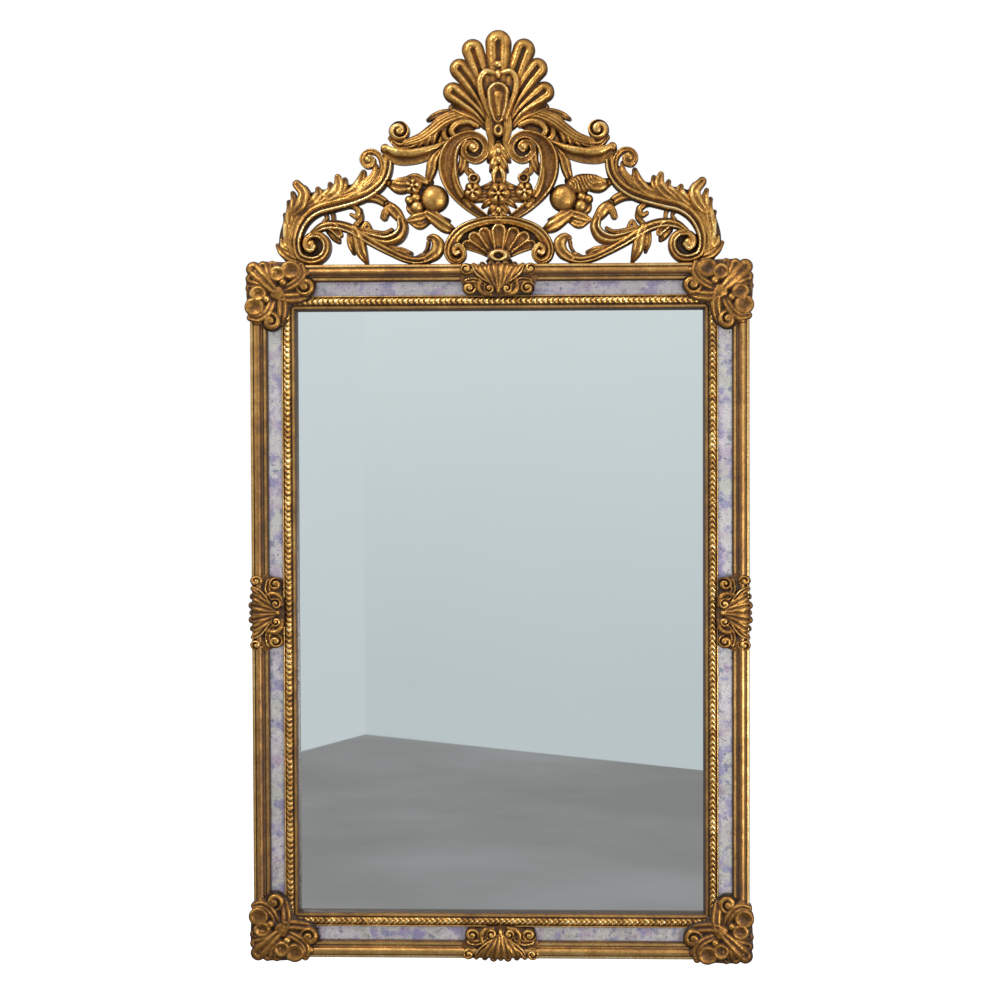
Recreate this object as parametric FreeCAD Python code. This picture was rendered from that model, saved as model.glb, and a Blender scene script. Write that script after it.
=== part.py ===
"""Carved and gilded wall mirror: a mitred frame with a border of old mirror strips, carved ornaments
on its corners and sides, and an openwork crest of scrolls, leaves and fruit under a palmette.

Millimetres. Pieces are laid out as seen from the front: x to the right of the middle, z up from the
top edge of the frame, and v forward from the back of the frame. In a moulding's section u runs
inward from the frame's outer edge. The part's own origin lies on the wall, midway between the two
hangers, at the height of their hinges.
"""
import FreeCAD, Part
import math
import os

Vector = FreeCAD.Vector

# ---- the frame -------------------------------------------------------------------------------
FRAME_WIDTH = 900.0
FRAME_HEIGHT = 1256.0
SIGHT_EDGE = 83.0            # u where the mouldings end and the glass shows
WALL_GAP = 9.0               # thickness of the pads behind the frame
HANGER_DROP = 300.0          # hinges of the hangers below the top of the frame
WOOD_FRONT = 26.0            # front of the wooden back frame
SIDES = ("top", "bottom", "left", "right")

# ---- glass and backboard ---------------------------------------------------------------------
STRIP_THICK = 4.2            # old mirror strips, laid on the back frame
STRIP_FROM = 28.5            # their edges, tucked under the mouldings' lips
STRIP_TO = 58.5
STRIP_JOINT = 0.5            # gap between neighbouring strips
PLATE_EDGE = 70.0            # u of the mirror plate's edge
PLATE_BACK = 11.0
PLATE_THICK = 5.0
BOARD_EDGE = 55.0            # u of the backboard's edge
BOARD_THICK = 6.0
BOARD_SCREW_U = 61.0
BOARD_SCREWS_ALONG = {"top": (-300, 0, 300), "bottom": (-300, 0, 300),
                      "left": (-250, -628, -1006), "right": (-250, -628, -1006)}
BLOCK_LENGTH = 60.0
BLOCKS_ALONG = {"top": (-200, 200), "bottom": (-200, 200), "left": (-400, -856), "right": (-400, -856)}

# ---- fixings ---------------------------------------------------------------------------------
FIT = 0.05                   # radial clearance of a drilled hole
SCREW_RADIUS = 1.75
SCREW_HEAD_RADIUS = 3.5
PAN_HEAD_THICK = 2.0
BATTEN_WIDTH = 20.0
BATTEN_THICK = 8.0
BATTEN_BELOW = 50.0          # let into the back frame
BATTEN_ABOVE = 322.0         # up behind the palmette
BOARD_SCREW_LENGTH = 18.0
BATTEN_SCREW_LENGTH = 16.0
BATTEN_SCREW_Z = (-40.0, -15.0, 60.0, 130.0, 262.0, 300.0)
DOWEL_RADIUS = 3.0
DOWEL_V = 15.0
DOWEL_HALF = 22.0
DOWEL_X = (80.0, 340.0)

# ---- hangers and pads ------------------------------------------------------------------------
HANGER_X = 420.0
HINGE_V = -4.2               # ring axis behind the back of the frame
RING_WIRE = 2.0
BORE_RADIUS = 2.05
BARREL_RADIUS = 3.55
STRAP_WIDTH = 18.0
STRAP_THICK = 1.5
STRAP_LENGTH = 64.0
STRAP_OVER_HINGE = 2.0       # the strap's plate runs this far above the ring's axis
STRAP_SCREWS = (-38.0, -56.0)
STRAP_SCREW_DEPTH = 17.0
RING_HALF = 14.0             # half width of the ring on its wire's middle line
RING_CORNER = 4.0
RING_LEG = 12.0
PAD_RADIUS = 12.0
PAD_INSET = 25.0             # from the frame's sides
PAD_DOWN = 40.0              # from its top and bottom

# ---- carving ---------------------------------------------------------------------------------
CREST_BACK = 8.0             # v of the flat back of the crest
ORNAMENT_BACK = 24.0         # v of the back of the ornaments laid over the mouldings
CREST_CORNER_X = 404.0       # the corner ornaments stay below the crest up to here
SPAN_SECTIONS = 3            # sections lofted along each span of a carved strip

LEAF_PITCH = 18.0            # notches that part the leaves of the leaf band
LEAF_NOTCH_HALF = 1.2
LEAF_NOTCH_BOTTOM = 34.5
LEAF_NOTCH_U = (50.0, 66.0, 80.0)  # outer end, bend and inner end of a notch

# A tool body that cuts right through reaches from here to here in v, and this far past the edges
CUT_BACK, CUT_FRONT = -60.0, 120.0
CUT_OVER = 20.0

# Sections of the mouldings: (u, v) is a straight run to that point, and (u, v, u, v) is an arc
# through the first point to the second.
BACK_FRAME_SECTION = [(3, 0), (54, 0), (54, 6), (68, 6), (68, 26), (3, 26)]
OUTER_TOP = [(0, 40), (0.9, 43.1, 3, 44), (5, 44), (5.5, 42), (6.5, 42), (12.5, 49.5, 20, 42.5),
             (22.5, 42), (22.5, 38.5), (23.5, 38.5), (23.5, 40), (28, 40), (29, 36, 31, 34)]
OUTER_SECTION = [(0, 2)] + OUTER_TOP + [(31, 30.3), (28, 30.3), (28, 26), (3, 26), (3, 2)]
INNER_EDGE = [(56, 34), (57.25, 36.2, 58.5, 34), (58.5, 33)]
INNER_TOP = [(73, 33), (73, 31.5), (74.5, 31.5), (74.5, 34), (78.5, 33.5), (81, 28.5, 83, 21)]
INNER_SECTION = ([(59, 26), (59, 30.3), (56, 30.3)] + INNER_EDGE + INNER_TOP
                 + [(83, 16), (68, 16), (68, 26)])
LEAF_SECTION = [(58.7, 33), (65.8, 39, 72.8, 33)]
# What the ornaments are hollowed out to clear: flat faces round the mouldings, touching their fillets.
COVERED_SECTION = [(0, -20), (0, 44), (6.45, 44), (6.45, 45.6), (10.4, 49.55), (16.1, 49.55),
                   (20.05, 45.6), (20.05, 42.5), (22.5, 42), (22.5, 40), (28, 40), (31, 34), (31, 30.2),
                   (55.75, 30.2), (55.75, 36.25), (60, 36.25), (62.75, 39.05), (68.75, 39.05),
                   (72.9, 34.85), (74.5, 34.5), (78.5, 33.5), (83.4, 25.4), (83.4, -20)]


# ---- places and simple solids ----------------------------------------------------------------
def at(x, z, v):
    """A point of the front view as a point of the part."""
    return Vector(x, -(WALL_GAP + v), HANGER_DROP + z)


def forward(length):
    return Vector(0, -length, 0)


def closed_wire(entries, place):
    """Joins a section's entries, straight runs and arcs, into a closed wire."""
    here = place(*entries[0])
    edges = []
    for entry in entries[1:] + entries[:1]:
        there = place(*entry[-2:])
        if there == here:
            continue
        if len(entry) == 4:
            edges.append(Part.Arc(here, place(*entry[:2]), there).toShape())
        else:
            edges.append(Part.makeLine(here, there))
        here = there
    return Part.Wire(edges)


def prism(entries, v0, v1):
    """A plate with the given outline in the front view, from v0 forward to v1."""
    face = Part.Face(closed_wire(entries, lambda x, z: at(x, z, v0)))
    return face.extrude(forward(v1 - v0))


def block(x0, x1, z0, z1, v0, v1):
    return prism([(x0, z0), (x1, z0), (x1, z1), (x0, z1)], v0, v1)


def mirrored(shape):
    """The same piece on the other side of the middle."""
    return shape.mirror(Vector(0, 0, 0), Vector(1, 0, 0))


def upside_down(shape):
    """The same piece at the other end of the frame's height."""
    return shape.mirror(at(0, -FRAME_HEIGHT / 2, 0), Vector(0, 0, 1))


def joined(solids):
    return solids[0].fuse(solids[1:])


def without(shape, others):
    """The shape cut back from its neighbours, with any loose chips left out."""
    return max(shape.cut(others).Solids, key=lambda solid: solid.Volume)


# ---- the frame's mouldings -------------------------------------------------------------------
def side_point(side, u, along):
    """Front-view place of a point u inward from a side's outer edge."""
    return {"top": (along, -u),
            "bottom": (along, u - FRAME_HEIGHT),
            "left": (u - FRAME_WIDTH / 2, along),
            "right": (FRAME_WIDTH / 2 - u, along)}[side]


def side_limits(side):
    """Where a side starts and ends along its length."""
    if side in ("top", "bottom"):
        return -FRAME_WIDTH / 2, FRAME_WIDTH / 2
    return -FRAME_HEIGHT, 0.0


def mitred(side, section):
    """A length of moulding along one side of the frame, with mitred ends."""
    low, high = side_limits(side)
    face = Part.Face(closed_wire(section, lambda u, v: at(*side_point(side, u, low), v)))
    length = face.extrude(at(*side_point(side, 0, high), 0) - at(*side_point(side, 0, low), 0))
    over, deep = CUT_OVER, FRAME_WIDTH / 4
    wedge = prism([side_point(side, -over, low - over), side_point(side, -over, high + over),
                   side_point(side, deep, high - deep), side_point(side, deep, low + deep)],
                  CUT_BACK, CUT_FRONT)
    return length.common(wedge)


def leaf_band(side):
    """The rounded leaf band, notched where one leaf ends and the next begins."""
    band = mitred(side, LEAF_SECTION)
    low, high = side_limits(side)
    count = int((high - low) / 2 / LEAF_PITCH)
    middle = (low + high) / 2
    outer_u, bend_u, inner_u = LEAF_NOTCH_U
    notches = []
    for step in range(-count, count + 1):
        along = middle + step * LEAF_PITCH
        bend = along + LEAF_PITCH / 4
        corners = [side_point(side, outer_u, along - LEAF_NOTCH_HALF),
                   side_point(side, bend_u, bend - LEAF_NOTCH_HALF),
                   side_point(side, inner_u, along - LEAF_NOTCH_HALF),
                   side_point(side, inner_u, along + LEAF_NOTCH_HALF),
                   side_point(side, bend_u, bend + LEAF_NOTCH_HALF),
                   side_point(side, outer_u, along + LEAF_NOTCH_HALF)]
        notches.append(prism(corners, LEAF_NOTCH_BOTTOM, CUT_FRONT))
    return band.cut(notches)


def mirror_strips():
    """Eight strips of old mirror that meet in the middle of each side."""
    front = WOOD_FRONT + STRIP_THICK
    half = FRAME_WIDTH / 2
    outer_x = half - STRIP_FROM
    inner_x = half - STRIP_TO
    tops = {"top": (-STRIP_TO, -STRIP_FROM),
            "bottom": (STRIP_FROM - FRAME_HEIGHT, STRIP_TO - FRAME_HEIGHT)}
    middle = -FRAME_HEIGHT / 2
    heights = {"upper": (middle + STRIP_JOINT, -STRIP_TO - STRIP_JOINT),
               "lower": (STRIP_TO - FRAME_HEIGHT + STRIP_JOINT, middle - STRIP_JOINT)}
    strips = {}
    for name, (z0, z1) in tops.items():
        right = block(STRIP_JOINT, outer_x, z0, z1, WOOD_FRONT, front)
        strips["strip_%s_right" % name] = right
        strips["strip_%s_left" % name] = mirrored(right)
    for name, (z0, z1) in heights.items():
        right = block(inner_x, outer_x, z0, z1, WOOD_FRONT, front)
        strips["strip_right_%s" % name] = right
        strips["strip_left_%s" % name] = mirrored(right)
    return strips


def inset_plate(u, v0, thick):
    """A rectangular sheet whose edges lie u inside the frame's outer edge."""
    half = FRAME_WIDTH / 2 - u
    return block(-half, half, u - FRAME_HEIGHT, -u, v0, v0 + thick)


def glazing_blocks():
    """Cork blocks that press the glass forward from the backboard."""
    v0, v1 = BOARD_THICK, PLATE_BACK
    half = BLOCK_LENGTH / 2
    blocks = []
    for side, places in BLOCKS_ALONG.items():
        for along in places:
            x0, z0 = side_point(side, PLATE_EDGE + 1, along - half)
            x1, z1 = side_point(side, SIGHT_EDGE, along + half)
            blocks.append(block(min(x0, x1), max(x0, x1), min(z0, z1), max(z0, z1), v0, v1))
    return blocks


# ---- screws, batten and dowels ---------------------------------------------------------------
def countersunk_screw(x, z, length, slack=0.0):
    """A wood screw driven forward from v = 0, or with slack the hole that it goes in."""
    head = SCREW_HEAD_RADIUS + slack
    shank = SCREW_RADIUS + slack
    cone = Part.makeCone(head, shank, head - shank, at(x, z, 0), forward(1))
    return cone.fuse(Part.makeCylinder(shank, length + slack, at(x, z, 0), forward(1)))


def pan_head_screw(x, z, slack=0.0):
    """A strap's screw, with its head behind the strap."""
    head_back = at(x, z, -STRAP_THICK - PAN_HEAD_THICK)
    head = Part.makeCylinder(SCREW_HEAD_RADIUS, PAN_HEAD_THICK, head_back, forward(1))
    length = STRAP_SCREW_DEPTH + STRAP_THICK
    shank = Part.makeCylinder(SCREW_RADIUS + slack, length, at(x, z, -STRAP_THICK), forward(1))
    return shank if slack else head.fuse(shank)


def board_screw_places():
    return [side_point(side, BOARD_SCREW_U, along)
            for side, places in BOARD_SCREWS_ALONG.items() for along in places]


def board_screws(slack=0.0):
    return [countersunk_screw(x, z, BOARD_SCREW_LENGTH, slack) for x, z in board_screw_places()]


def batten_screws(slack=0.0):
    return [countersunk_screw(0, z, BATTEN_SCREW_LENGTH, slack) for z in BATTEN_SCREW_Z]


def strap_screws(slack=0.0):
    return [pan_head_screw(x, z - HANGER_DROP, slack)
            for x in (-HANGER_X, HANGER_X) for z in STRAP_SCREWS]


def batten():
    return block(-BATTEN_WIDTH / 2, BATTEN_WIDTH / 2, -BATTEN_BELOW, BATTEN_ABOVE, 0, BATTEN_THICK)


def dowels(slack=0.0):
    low = -DOWEL_HALF - slack
    return [Part.makeCylinder(DOWEL_RADIUS - FIT + slack, 2 * (DOWEL_HALF + slack),
                              at(side * x, low, DOWEL_V), Vector(0, 0, 1))
            for x in DOWEL_X for side in (-1, 1)]


# ---- hangers and pads ------------------------------------------------------------------------
def hanger_strap(x):
    """A strap folded round the ring's straight side."""
    hinge = at(x, -HANGER_DROP, HINGE_V)
    half = STRAP_WIDTH / 2
    across = Vector(1, 0, 0)
    plate = block(x - half, x + half, -HANGER_DROP - STRAP_LENGTH, -HANGER_DROP + STRAP_OVER_HINGE,
                  -STRAP_THICK, 0)
    barrel = Part.makeCylinder(BARREL_RADIUS, STRAP_WIDTH, hinge - across * half, across)
    bore = Part.makeCylinder(BORE_RADIUS, STRAP_WIDTH + 2, hinge - across * (half + 1), across)
    return plate.fuse(barrel).cut([bore] + strap_screws(FIT))


def hanger_ring(x):
    """A D-shaped wire ring that hangs straight down from its strap."""
    straight = RING_HALF - RING_CORNER
    corner = RING_CORNER * (1 - math.sqrt(0.5))
    low = -HANGER_DROP - RING_LEG

    def spot(dx, dz):
        return at(x + dx, -HANGER_DROP + dz, HINGE_V)

    path = Part.Wire([
        Part.makeLine(spot(-straight, 0), spot(straight, 0)),
        Part.Arc(spot(straight, 0), spot(RING_HALF - corner, -corner),
                 spot(RING_HALF, -RING_CORNER)).toShape(),
        Part.makeLine(spot(RING_HALF, -RING_CORNER), spot(RING_HALF, -RING_LEG)),
        Part.Arc(spot(RING_HALF, -RING_LEG), at(x, low - RING_HALF, HINGE_V),
                 spot(-RING_HALF, -RING_LEG)).toShape(),
        Part.makeLine(spot(-RING_HALF, -RING_LEG), spot(-RING_HALF, -RING_CORNER)),
        Part.Arc(spot(-RING_HALF, -RING_CORNER), spot(corner - RING_HALF, -corner),
                 spot(-straight, 0)).toShape()])
    wire_end = Part.Wire([Part.makeCircle(RING_WIRE, spot(-straight, 0), Vector(1, 0, 0))])
    return path.makePipeShell([wire_end], True, False)


def wall_pads():
    half = FRAME_WIDTH / 2 - PAD_INSET
    return [Part.makeCylinder(PAD_RADIUS, WALL_GAP, at(x, z, -WALL_GAP), forward(1))
            for x in (-half, half) for z in (-PAD_DOWN, PAD_DOWN - FRAME_HEIGHT)]


# ---- carving tools ---------------------------------------------------------------------------
def carved_section(x, z, nx, nz, width, back, side, crown):
    """Cross section of a carved strip: flat back, upright sides, and a round or hollow top."""
    left_x, left_z = x + nx * width / 2, z + nz * width / 2
    right_x, right_z = x - nx * width / 2, z - nz * width / 2
    top = back + side
    low_left, high_left = at(left_x, left_z, back), at(left_x, left_z, top)
    high_right, low_right = at(right_x, right_z, top), at(right_x, right_z, back)
    return Part.Wire([Part.makeLine(low_left, high_left),
                      Part.Arc(high_left, at(x, z, top + crown), high_right).toShape(),
                      Part.makeLine(high_right, low_right),
                      Part.makeLine(low_right, low_left)])


def strip(points, side, crown, back=CREST_BACK):
    """A carved strip along a smooth line through points of (x, z, width)."""
    curve = Part.BSplineCurve()
    curve.interpolate([Vector(x, 0, z) for x, z, width in points])
    knots = [curve.parameter(Vector(x, 0, z)) for x, z, width in points]
    sections = []
    for index in range(len(points) - 1):
        last = index == len(points) - 2
        for step in range(SPAN_SECTIONS + last):
            share = step / SPAN_SECTIONS
            place = knots[index] + (knots[index + 1] - knots[index]) * share
            width = points[index][2] + (points[index + 1][2] - points[index][2]) * share
            spot = curve.value(place)
            along = curve.tangent(place)[0]
            rise = math.copysign(min(abs(crown), width / 3), crown)
            sections.append(carved_section(spot.x, spot.z, -along.z, along.x, width, back, side, rise))
    return Part.makeLoft(sections, True, False)


def lobe(base_x, base_z, base_width, tip_x, tip_z, radius, side, crown, back=CREST_BACK):
    """A tongue from its base to a round end about the tip's centre, round or hollow on top."""
    run = math.hypot(tip_x - base_x, tip_z - base_z)
    ax, az = (tip_x - base_x) / run, (tip_z - base_z) / run
    sizes = [(0.0, base_width), (run / 2, (base_width + 2 * radius) / 2), (run, 2 * radius)]
    sizes += [(run + radius * math.sin(turn), 2 * radius * math.cos(turn)) for turn in (0.5, 0.9, 1.25)]
    sections = []
    for reach, width in sizes:
        rise = math.copysign(min(abs(crown), width / 3), crown)
        sections.append(carved_section(base_x + ax * reach, base_z + az * reach, -az, ax,
                                       width, back, side, rise))
    return Part.makeLoft(sections, True, True)


def turned(x, z, entries):
    """A solid turned about a line that points forward: entries are (radius, v), as in a section."""
    face = Part.Face(closed_wire(entries, lambda radius, v: at(x + radius, z, v)))
    return face.revolve(at(x, z, 0), forward(1), 360)


def dome(x, z, radius, side, cap, back=CREST_BACK):
    """A round boss with a rounded top."""
    top = back + side
    ball = (radius * radius + cap * cap) / (2 * cap)
    half_turn = math.asin(min(1.0, radius / ball)) / 2
    middle = (ball * math.sin(half_turn), top + cap - ball * (1 - math.cos(half_turn)))
    return turned(x, z, [(0, back), (radius, back), (radius, top), middle + (0, top + cap)])


def curl(x, z, radius, side, back=CREST_BACK):
    """The round end of a scroll: a raised rim, a sunk groove and an eye."""
    rim, top = 0.62 * radius, back + side
    return turned(x, z, [(0, back), (radius, back), (radius, top - 3), (0.84 * radius, top, rim, top - 3),
                         (0.5 * radius, top - 6), (0.44 * radius, top - 4), (0.28 * radius, top), (0, top)])


def rosette(x, z, radius, petals, side, back=CREST_BACK):
    """A flower: a ring of petals round a button."""
    solids = [dome(x, z, 0.62 * radius, side - 3, 2, back), dome(x, z, 0.3 * radius, side, 3, back)]
    for petal in range(petals):
        turn = math.pi * (0.5 + 2 * petal / petals)
        reach = 0.6 * radius
        solids.append(dome(x + reach * math.cos(turn), z + reach * math.sin(turn), 0.4 * radius,
                           side - 2 - 0.1 * petal, 3, back))
    return joined(solids)


def standing_on_frame(shape):
    """Cut flat where the crest stands on the frame."""
    return without(shape, [block(-FRAME_WIDTH / 2, FRAME_WIDTH / 2, -SIGHT_EDGE, 0, CUT_BACK, CUT_FRONT)])


# ---- the crest, drawn on the right of the middle ---------------------------------------------
def crest_palmette():
    """A fan of nine hollow lobes behind a framed seed pod."""
    lobes = [lobe(0, 226, 22, 0, 400, 22, 20, -4)]
    for base, tip_x, tip_z, radius, side in ((7, 47, 388, 17, 18.6), (12, 73, 355, 16, 17.2),
                                             (15, 84, 310, 16, 15.8), (14, 79, 285, 9, 11)):
        right = lobe(base, 236, 16, tip_x, tip_z, radius, side, -4)
        lobes += [right, mirrored(right)]
    right_rim = strip([(24, 262, 6), (31, 292, 7), (32, 322, 8), (22, 341, 8), (3, 346, 7)], 25, 2)
    pod = lobe(0, 250, 18, 0, 303, 18, 27, -6)
    return joined(lobes + [right_rim, mirrored(right_rim), pod, dome(0, 352, 8, 26, 4),
                           dome(0, 236, 7, 28, 4), dome(0, 244, 6, 27, 4)])


def crest_festoon():
    """The middle column of husks and flowers between the big scrolls."""
    stem = strip([(0, 80, 22), (0, 105, 26), (0, 150, 22), (0, 180, 30), (0, 214, 20)], 15, 3)
    cross = strip([(-62, 116, 14), (-34, 124, 22), (0, 126, 26), (34, 124, 22), (62, 116, 14)], 13, 3)
    husks = []
    for x, z, radius in ((14, 180, 9), (16, 196, 8), (10, 100, 8), (8, 88, 8)):
        husk = dome(x, z, radius, 19 + 0.05 * radius, 3)
        husks += [husk, mirrored(husk)]
    spray = strip([(4, 172, 8), (9, 160, 9), (8, 148, 6)], 20, 3)
    side_flower = rosette(47, 132, 16, 5, 22)
    return joined([stem, cross, spray, mirrored(spray), rosette(0, 127, 19, 6, 24),
                   side_flower, mirrored(side_flower), dome(0, 186, 7, 20, 4)] + husks)


def crest_shell():
    """A fluted shell under an arched band that ends in two small volutes."""
    web = prism([(-60, 26), (-84, 36), (0, 84, 84, 36), (60, 26), (22, 18), (-22, 18)],
                CREST_BACK, CREST_BACK + 9)
    flutes = [lobe(0, 14, 16, 0, 60, 13, 18, -4)]
    for base_x, base_z, tip_x, tip_z, radius, side in ((5, 13, 26, 55, 11.5, 17.2),
                                                       (8, 11, 46, 46, 10.5, 16.4),
                                                       (10, 9, 58, 34, 8.5, 15.6)):
        right = lobe(base_x, base_z + 4, 12, tip_x, tip_z, radius, side, -4)
        flutes += [right, mirrored(right)]
    half_band = [(0, 82, 12), (30, 80.5, 12), (52, 75, 13), (71, 64, 14), (85, 49, 14), (92, 33, 13),
                 (89, 14, 13), (76, 7, 11), (66, 16, 8)]
    band = strip([(-x, z, width) for x, z, width in reversed(half_band[1:])] + half_band, 24, 3)
    foot = [dome(80, 19, 17.5, 15, 2), dome(78, 21, 7, 26, 3)]
    boss = prism([(-19, 15), (0, 27.5, 19, 15), (0, 1, -19, 15)], CREST_BACK, CREST_BACK + 27)
    hollow = prism([(-12, 15), (0, 22.5, 12, 15), (0, 7.5, -12, 15)], CREST_BACK + 22, CREST_BACK + 40)
    shell = joined([web, band, boss] + flutes + foot + [mirrored(solid) for solid in foot])
    return standing_on_frame(shell.cut(hollow))


def crest_scroll():
    """One half of the heart: a hollow band that rises from the shell and curls in at the top."""
    band = strip([(34, 84, 15), (62, 110, 20), (84, 140, 30), (91, 172, 36), (88, 198, 32), (76, 221, 22),
                  (56, 234, 16), (34, 230, 13), (23, 212, 12), (29, 194, 12), (46, 187, 12), (60, 194, 11),
                  (64, 208, 9)], 22, -5)
    leaf = strip([(74, 200, 10), (70, 168, 14), (58, 156, 13), (44, 156, 7)], 16, 4)
    tip = strip([(76, 205, 8), (74, 180, 12), (73, 160, 5)], 17, 4)
    return joined([band, dome(45, 210, 23, 13, 2), dome(46, 210, 9.5, 23, 4), leaf, tip])


def crest_wing():
    """The sweep from the palmette out to the upper volute, over a plain curved ledge."""
    sweep = strip([(24, 264, 12), (60, 270, 14), (90, 264, 22), (112, 248, 28), (131, 231, 27),
                   (152, 220, 22), (174, 215, 15), (190, 224, 11), (196, 240, 9), (188, 253, 8),
                   (175, 254, 7), (167, 244, 6)], 20, 5)
    ledge = strip([(98, 214, 16), (125, 203, 22), (155, 195, 25), (185, 196, 26), (204, 208, 20)], 23, 4)
    feather = strip([(96, 268, 14), (112, 267, 14), (128, 262, 6)], 17, 3)
    inner = strip([(58, 254, 9), (80, 255, 11), (94, 243, 11), (93, 229, 9), (81, 222, 7)], 18, 3)
    fingers = [strip([(116, 240, 9), (123, 226, 10), (122, 214, 5)], 24, 3),
               strip([(130, 238, 9), (138, 224, 10), (139, 210, 5)], 24.5, 3)]
    return joined([sweep, ledge, feather, inner, dome(180, 238, 19, 12, 2), dome(181, 240, 7, 20, 3),
                   dome(83, 240, 13, 12, 2)] + fingers)


def crest_acanthus():
    """The outer leaf branch: a small volute on top, a row of leaves, and the big volute below."""
    branch = strip([(201, 214, 16), (202, 180, 24), (208, 155, 27), (229, 134, 25), (262, 121, 27),
                    (300, 112, 26), (335, 99, 26), (360, 74, 27), (371, 44, 27), (366, 20, 20),
                    (344, 9, 18), (322, 14, 17), (310, 30, 15), (315, 47, 12), (331, 55, 9)], 21, 5)
    top_curl = strip([(206, 170, 12), (215, 188, 11), (223, 201, 10), (236, 205, 9), (247, 196, 8),
                      (246, 182, 8)], 23, 3)
    leaves = []
    for number, points in enumerate((
            [(214, 140, 26), (232, 154, 22), (246, 168, 8)],
            [(268, 122, 16), (282, 138, 16), (281, 153, 8)],
            [(276, 120, 16), (292, 140, 17), (290, 160, 9)],
            [(290, 118, 14), (303, 132, 13), (302, 147, 7)],
            [(305, 115, 16), (321, 126, 15), (325, 138, 8)],
            [(335, 105, 18), (351, 126, 20), (355, 146, 9)],
            [(343, 100, 18), (361, 128, 19), (370, 151, 9)],
            [(350, 95, 16), (367, 117, 14), (377, 131, 6)],
            [(358, 80, 16), (372, 100, 13), (376, 116, 7)],
            [(366, 50, 18), (381, 74, 15), (386, 93, 8)],
            [(362, 8, 12), (383, 13, 15), (396, 26, 13), (402, 38, 7)])):
        leaves.append(strip(points, 16 + 0.15 * number, 4))
    curls = [strip([(336, 98, 10), (319, 97, 10), (312, 85, 6)], 17, 3),
             strip([(310, 105, 9), (293, 101, 9), (280, 98, 5)], 18, 3),
             strip([(285, 110, 10), (268, 110, 12), (258, 99, 10), (262, 89, 6)], 17.5, 3),
             strip([(309, 104, 9), (304, 90, 8), (302, 74, 9)], 14, 3),
             strip([(252, 112, 10), (249, 85, 9), (251, 60, 10)], 14.5, 3)]
    branch_wood = joined([branch, top_curl, dome(236, 190, 16, 12, 2), dome(239, 190, 6, 20, 3),
                          dome(340, 33, 28, 13, 2), dome(346, 36, 9, 22, 4)] + leaves + curls)
    return standing_on_frame(branch_wood)


def crest_vine():
    """The lower S-scroll from the big volute to the shell, with its flower and hanging leaves."""
    stem = strip([(338, 60, 8), (318, 68, 16), (298, 71, 18), (272, 66, 20), (246, 54, 20), (222, 38, 18),
                  (196, 24, 15), (170, 11, 14), (145, 6, 15), (124, 13, 17), (112, 28, 16), (113, 41, 10),
                  (123, 45, 7)], 20, 5)
    side = strip([(252, 56, 10), (222, 46, 14), (197, 42, 20), (178, 50, 25), (173, 66, 24), (178, 84, 20)],
                 18, 5)
    leaves = [strip([(262, 66, 16), (260, 42, 24), (250, 22, 22), (240, 3, 6)], 17, 4),
              strip([(268, 60, 10), (267, 40, 12), (266, 22, 7)], 15, 3),
              strip([(304, 73, 18), (290, 56, 18), (283, 42, 6)], 16, 4),
              strip([(190, 27, 8), (172, 25, 9), (159, 20, 5)], 15.5, 3),
              strip([(208, 44, 8), (203, 54, 8), (198, 58, 5)], 14.5, 3)]
    flower = rosette(189, 97, 19, 5, 24)
    return standing_on_frame(joined([stem, side, flower, dome(207, 88, 10, 17, 5)] + leaves))


def crest_fruit():
    """The cluster beside the heart: a ball, a long fruit, buds and leaves."""
    ball = dome(117, 121, 20.5, 14, 15)
    upper_leaf = strip([(110, 204, 10), (122, 184, 18), (122, 166, 19), (130, 150, 12)], 17, 4)
    long_fruit = strip([(134, 140, 14), (146, 142, 26), (160, 144, 26), (172, 147, 12)], 20, 7)
    outer_leaf = strip([(160, 146, 20), (180, 143, 25), (198, 148, 14)], 15, 4)
    top_leaf = strip([(132, 154, 10), (158, 159, 10), (180, 154, 6)], 16, 3)
    body = strip([(143, 136, 26), (148, 112, 26), (146, 92, 22)], 14, 3)
    seed_leaf = strip([(166, 80, 8), (146, 83, 16), (124, 92, 16)], 17.5, 4)
    under_leaf = strip([(162, 78, 8), (142, 72, 12), (126, 82, 9)], 15, 3)
    inner_leaf = strip([(127, 96, 12), (108, 78, 24), (92, 65, 22), (80, 61, 8)], 16.5, 4)
    return joined([ball, upper_leaf, long_fruit, outer_leaf, top_leaf, body, seed_leaf, under_leaf,
                   inner_leaf, dome(148, 104, 12, 19, 6), dome(160, 118, 8, 17, 4)])


def crest_pieces():
    """Every piece of the crest, each cut back from the pieces that lie over it."""
    palmette = crest_palmette()
    shell = crest_shell()
    festoon = without(crest_festoon(), [palmette, shell])
    scroll = without(crest_scroll(), [palmette, shell, festoon])
    fruit = without(crest_fruit(), [scroll, shell])
    wing = without(crest_wing(), [palmette, scroll, fruit])
    vine = without(crest_vine(), [shell, fruit])
    acanthus = without(crest_acanthus(), [wing, vine, fruit])
    holes = batten_screws(FIT) + dowels(FIT)
    pieces = {"crest_palmette": without(palmette, holes),
              "crest_shell": without(shell, holes),
              "crest_festoon": without(festoon, holes)}
    for name, right in (("scroll", scroll), ("fruit", fruit), ("wing", wing), ("vine", vine),
                        ("acanthus", without(acanthus, holes))):
        pieces["crest_%s_right" % name] = right
        pieces["crest_%s_left" % name] = mirrored(right)
    return pieces


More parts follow.
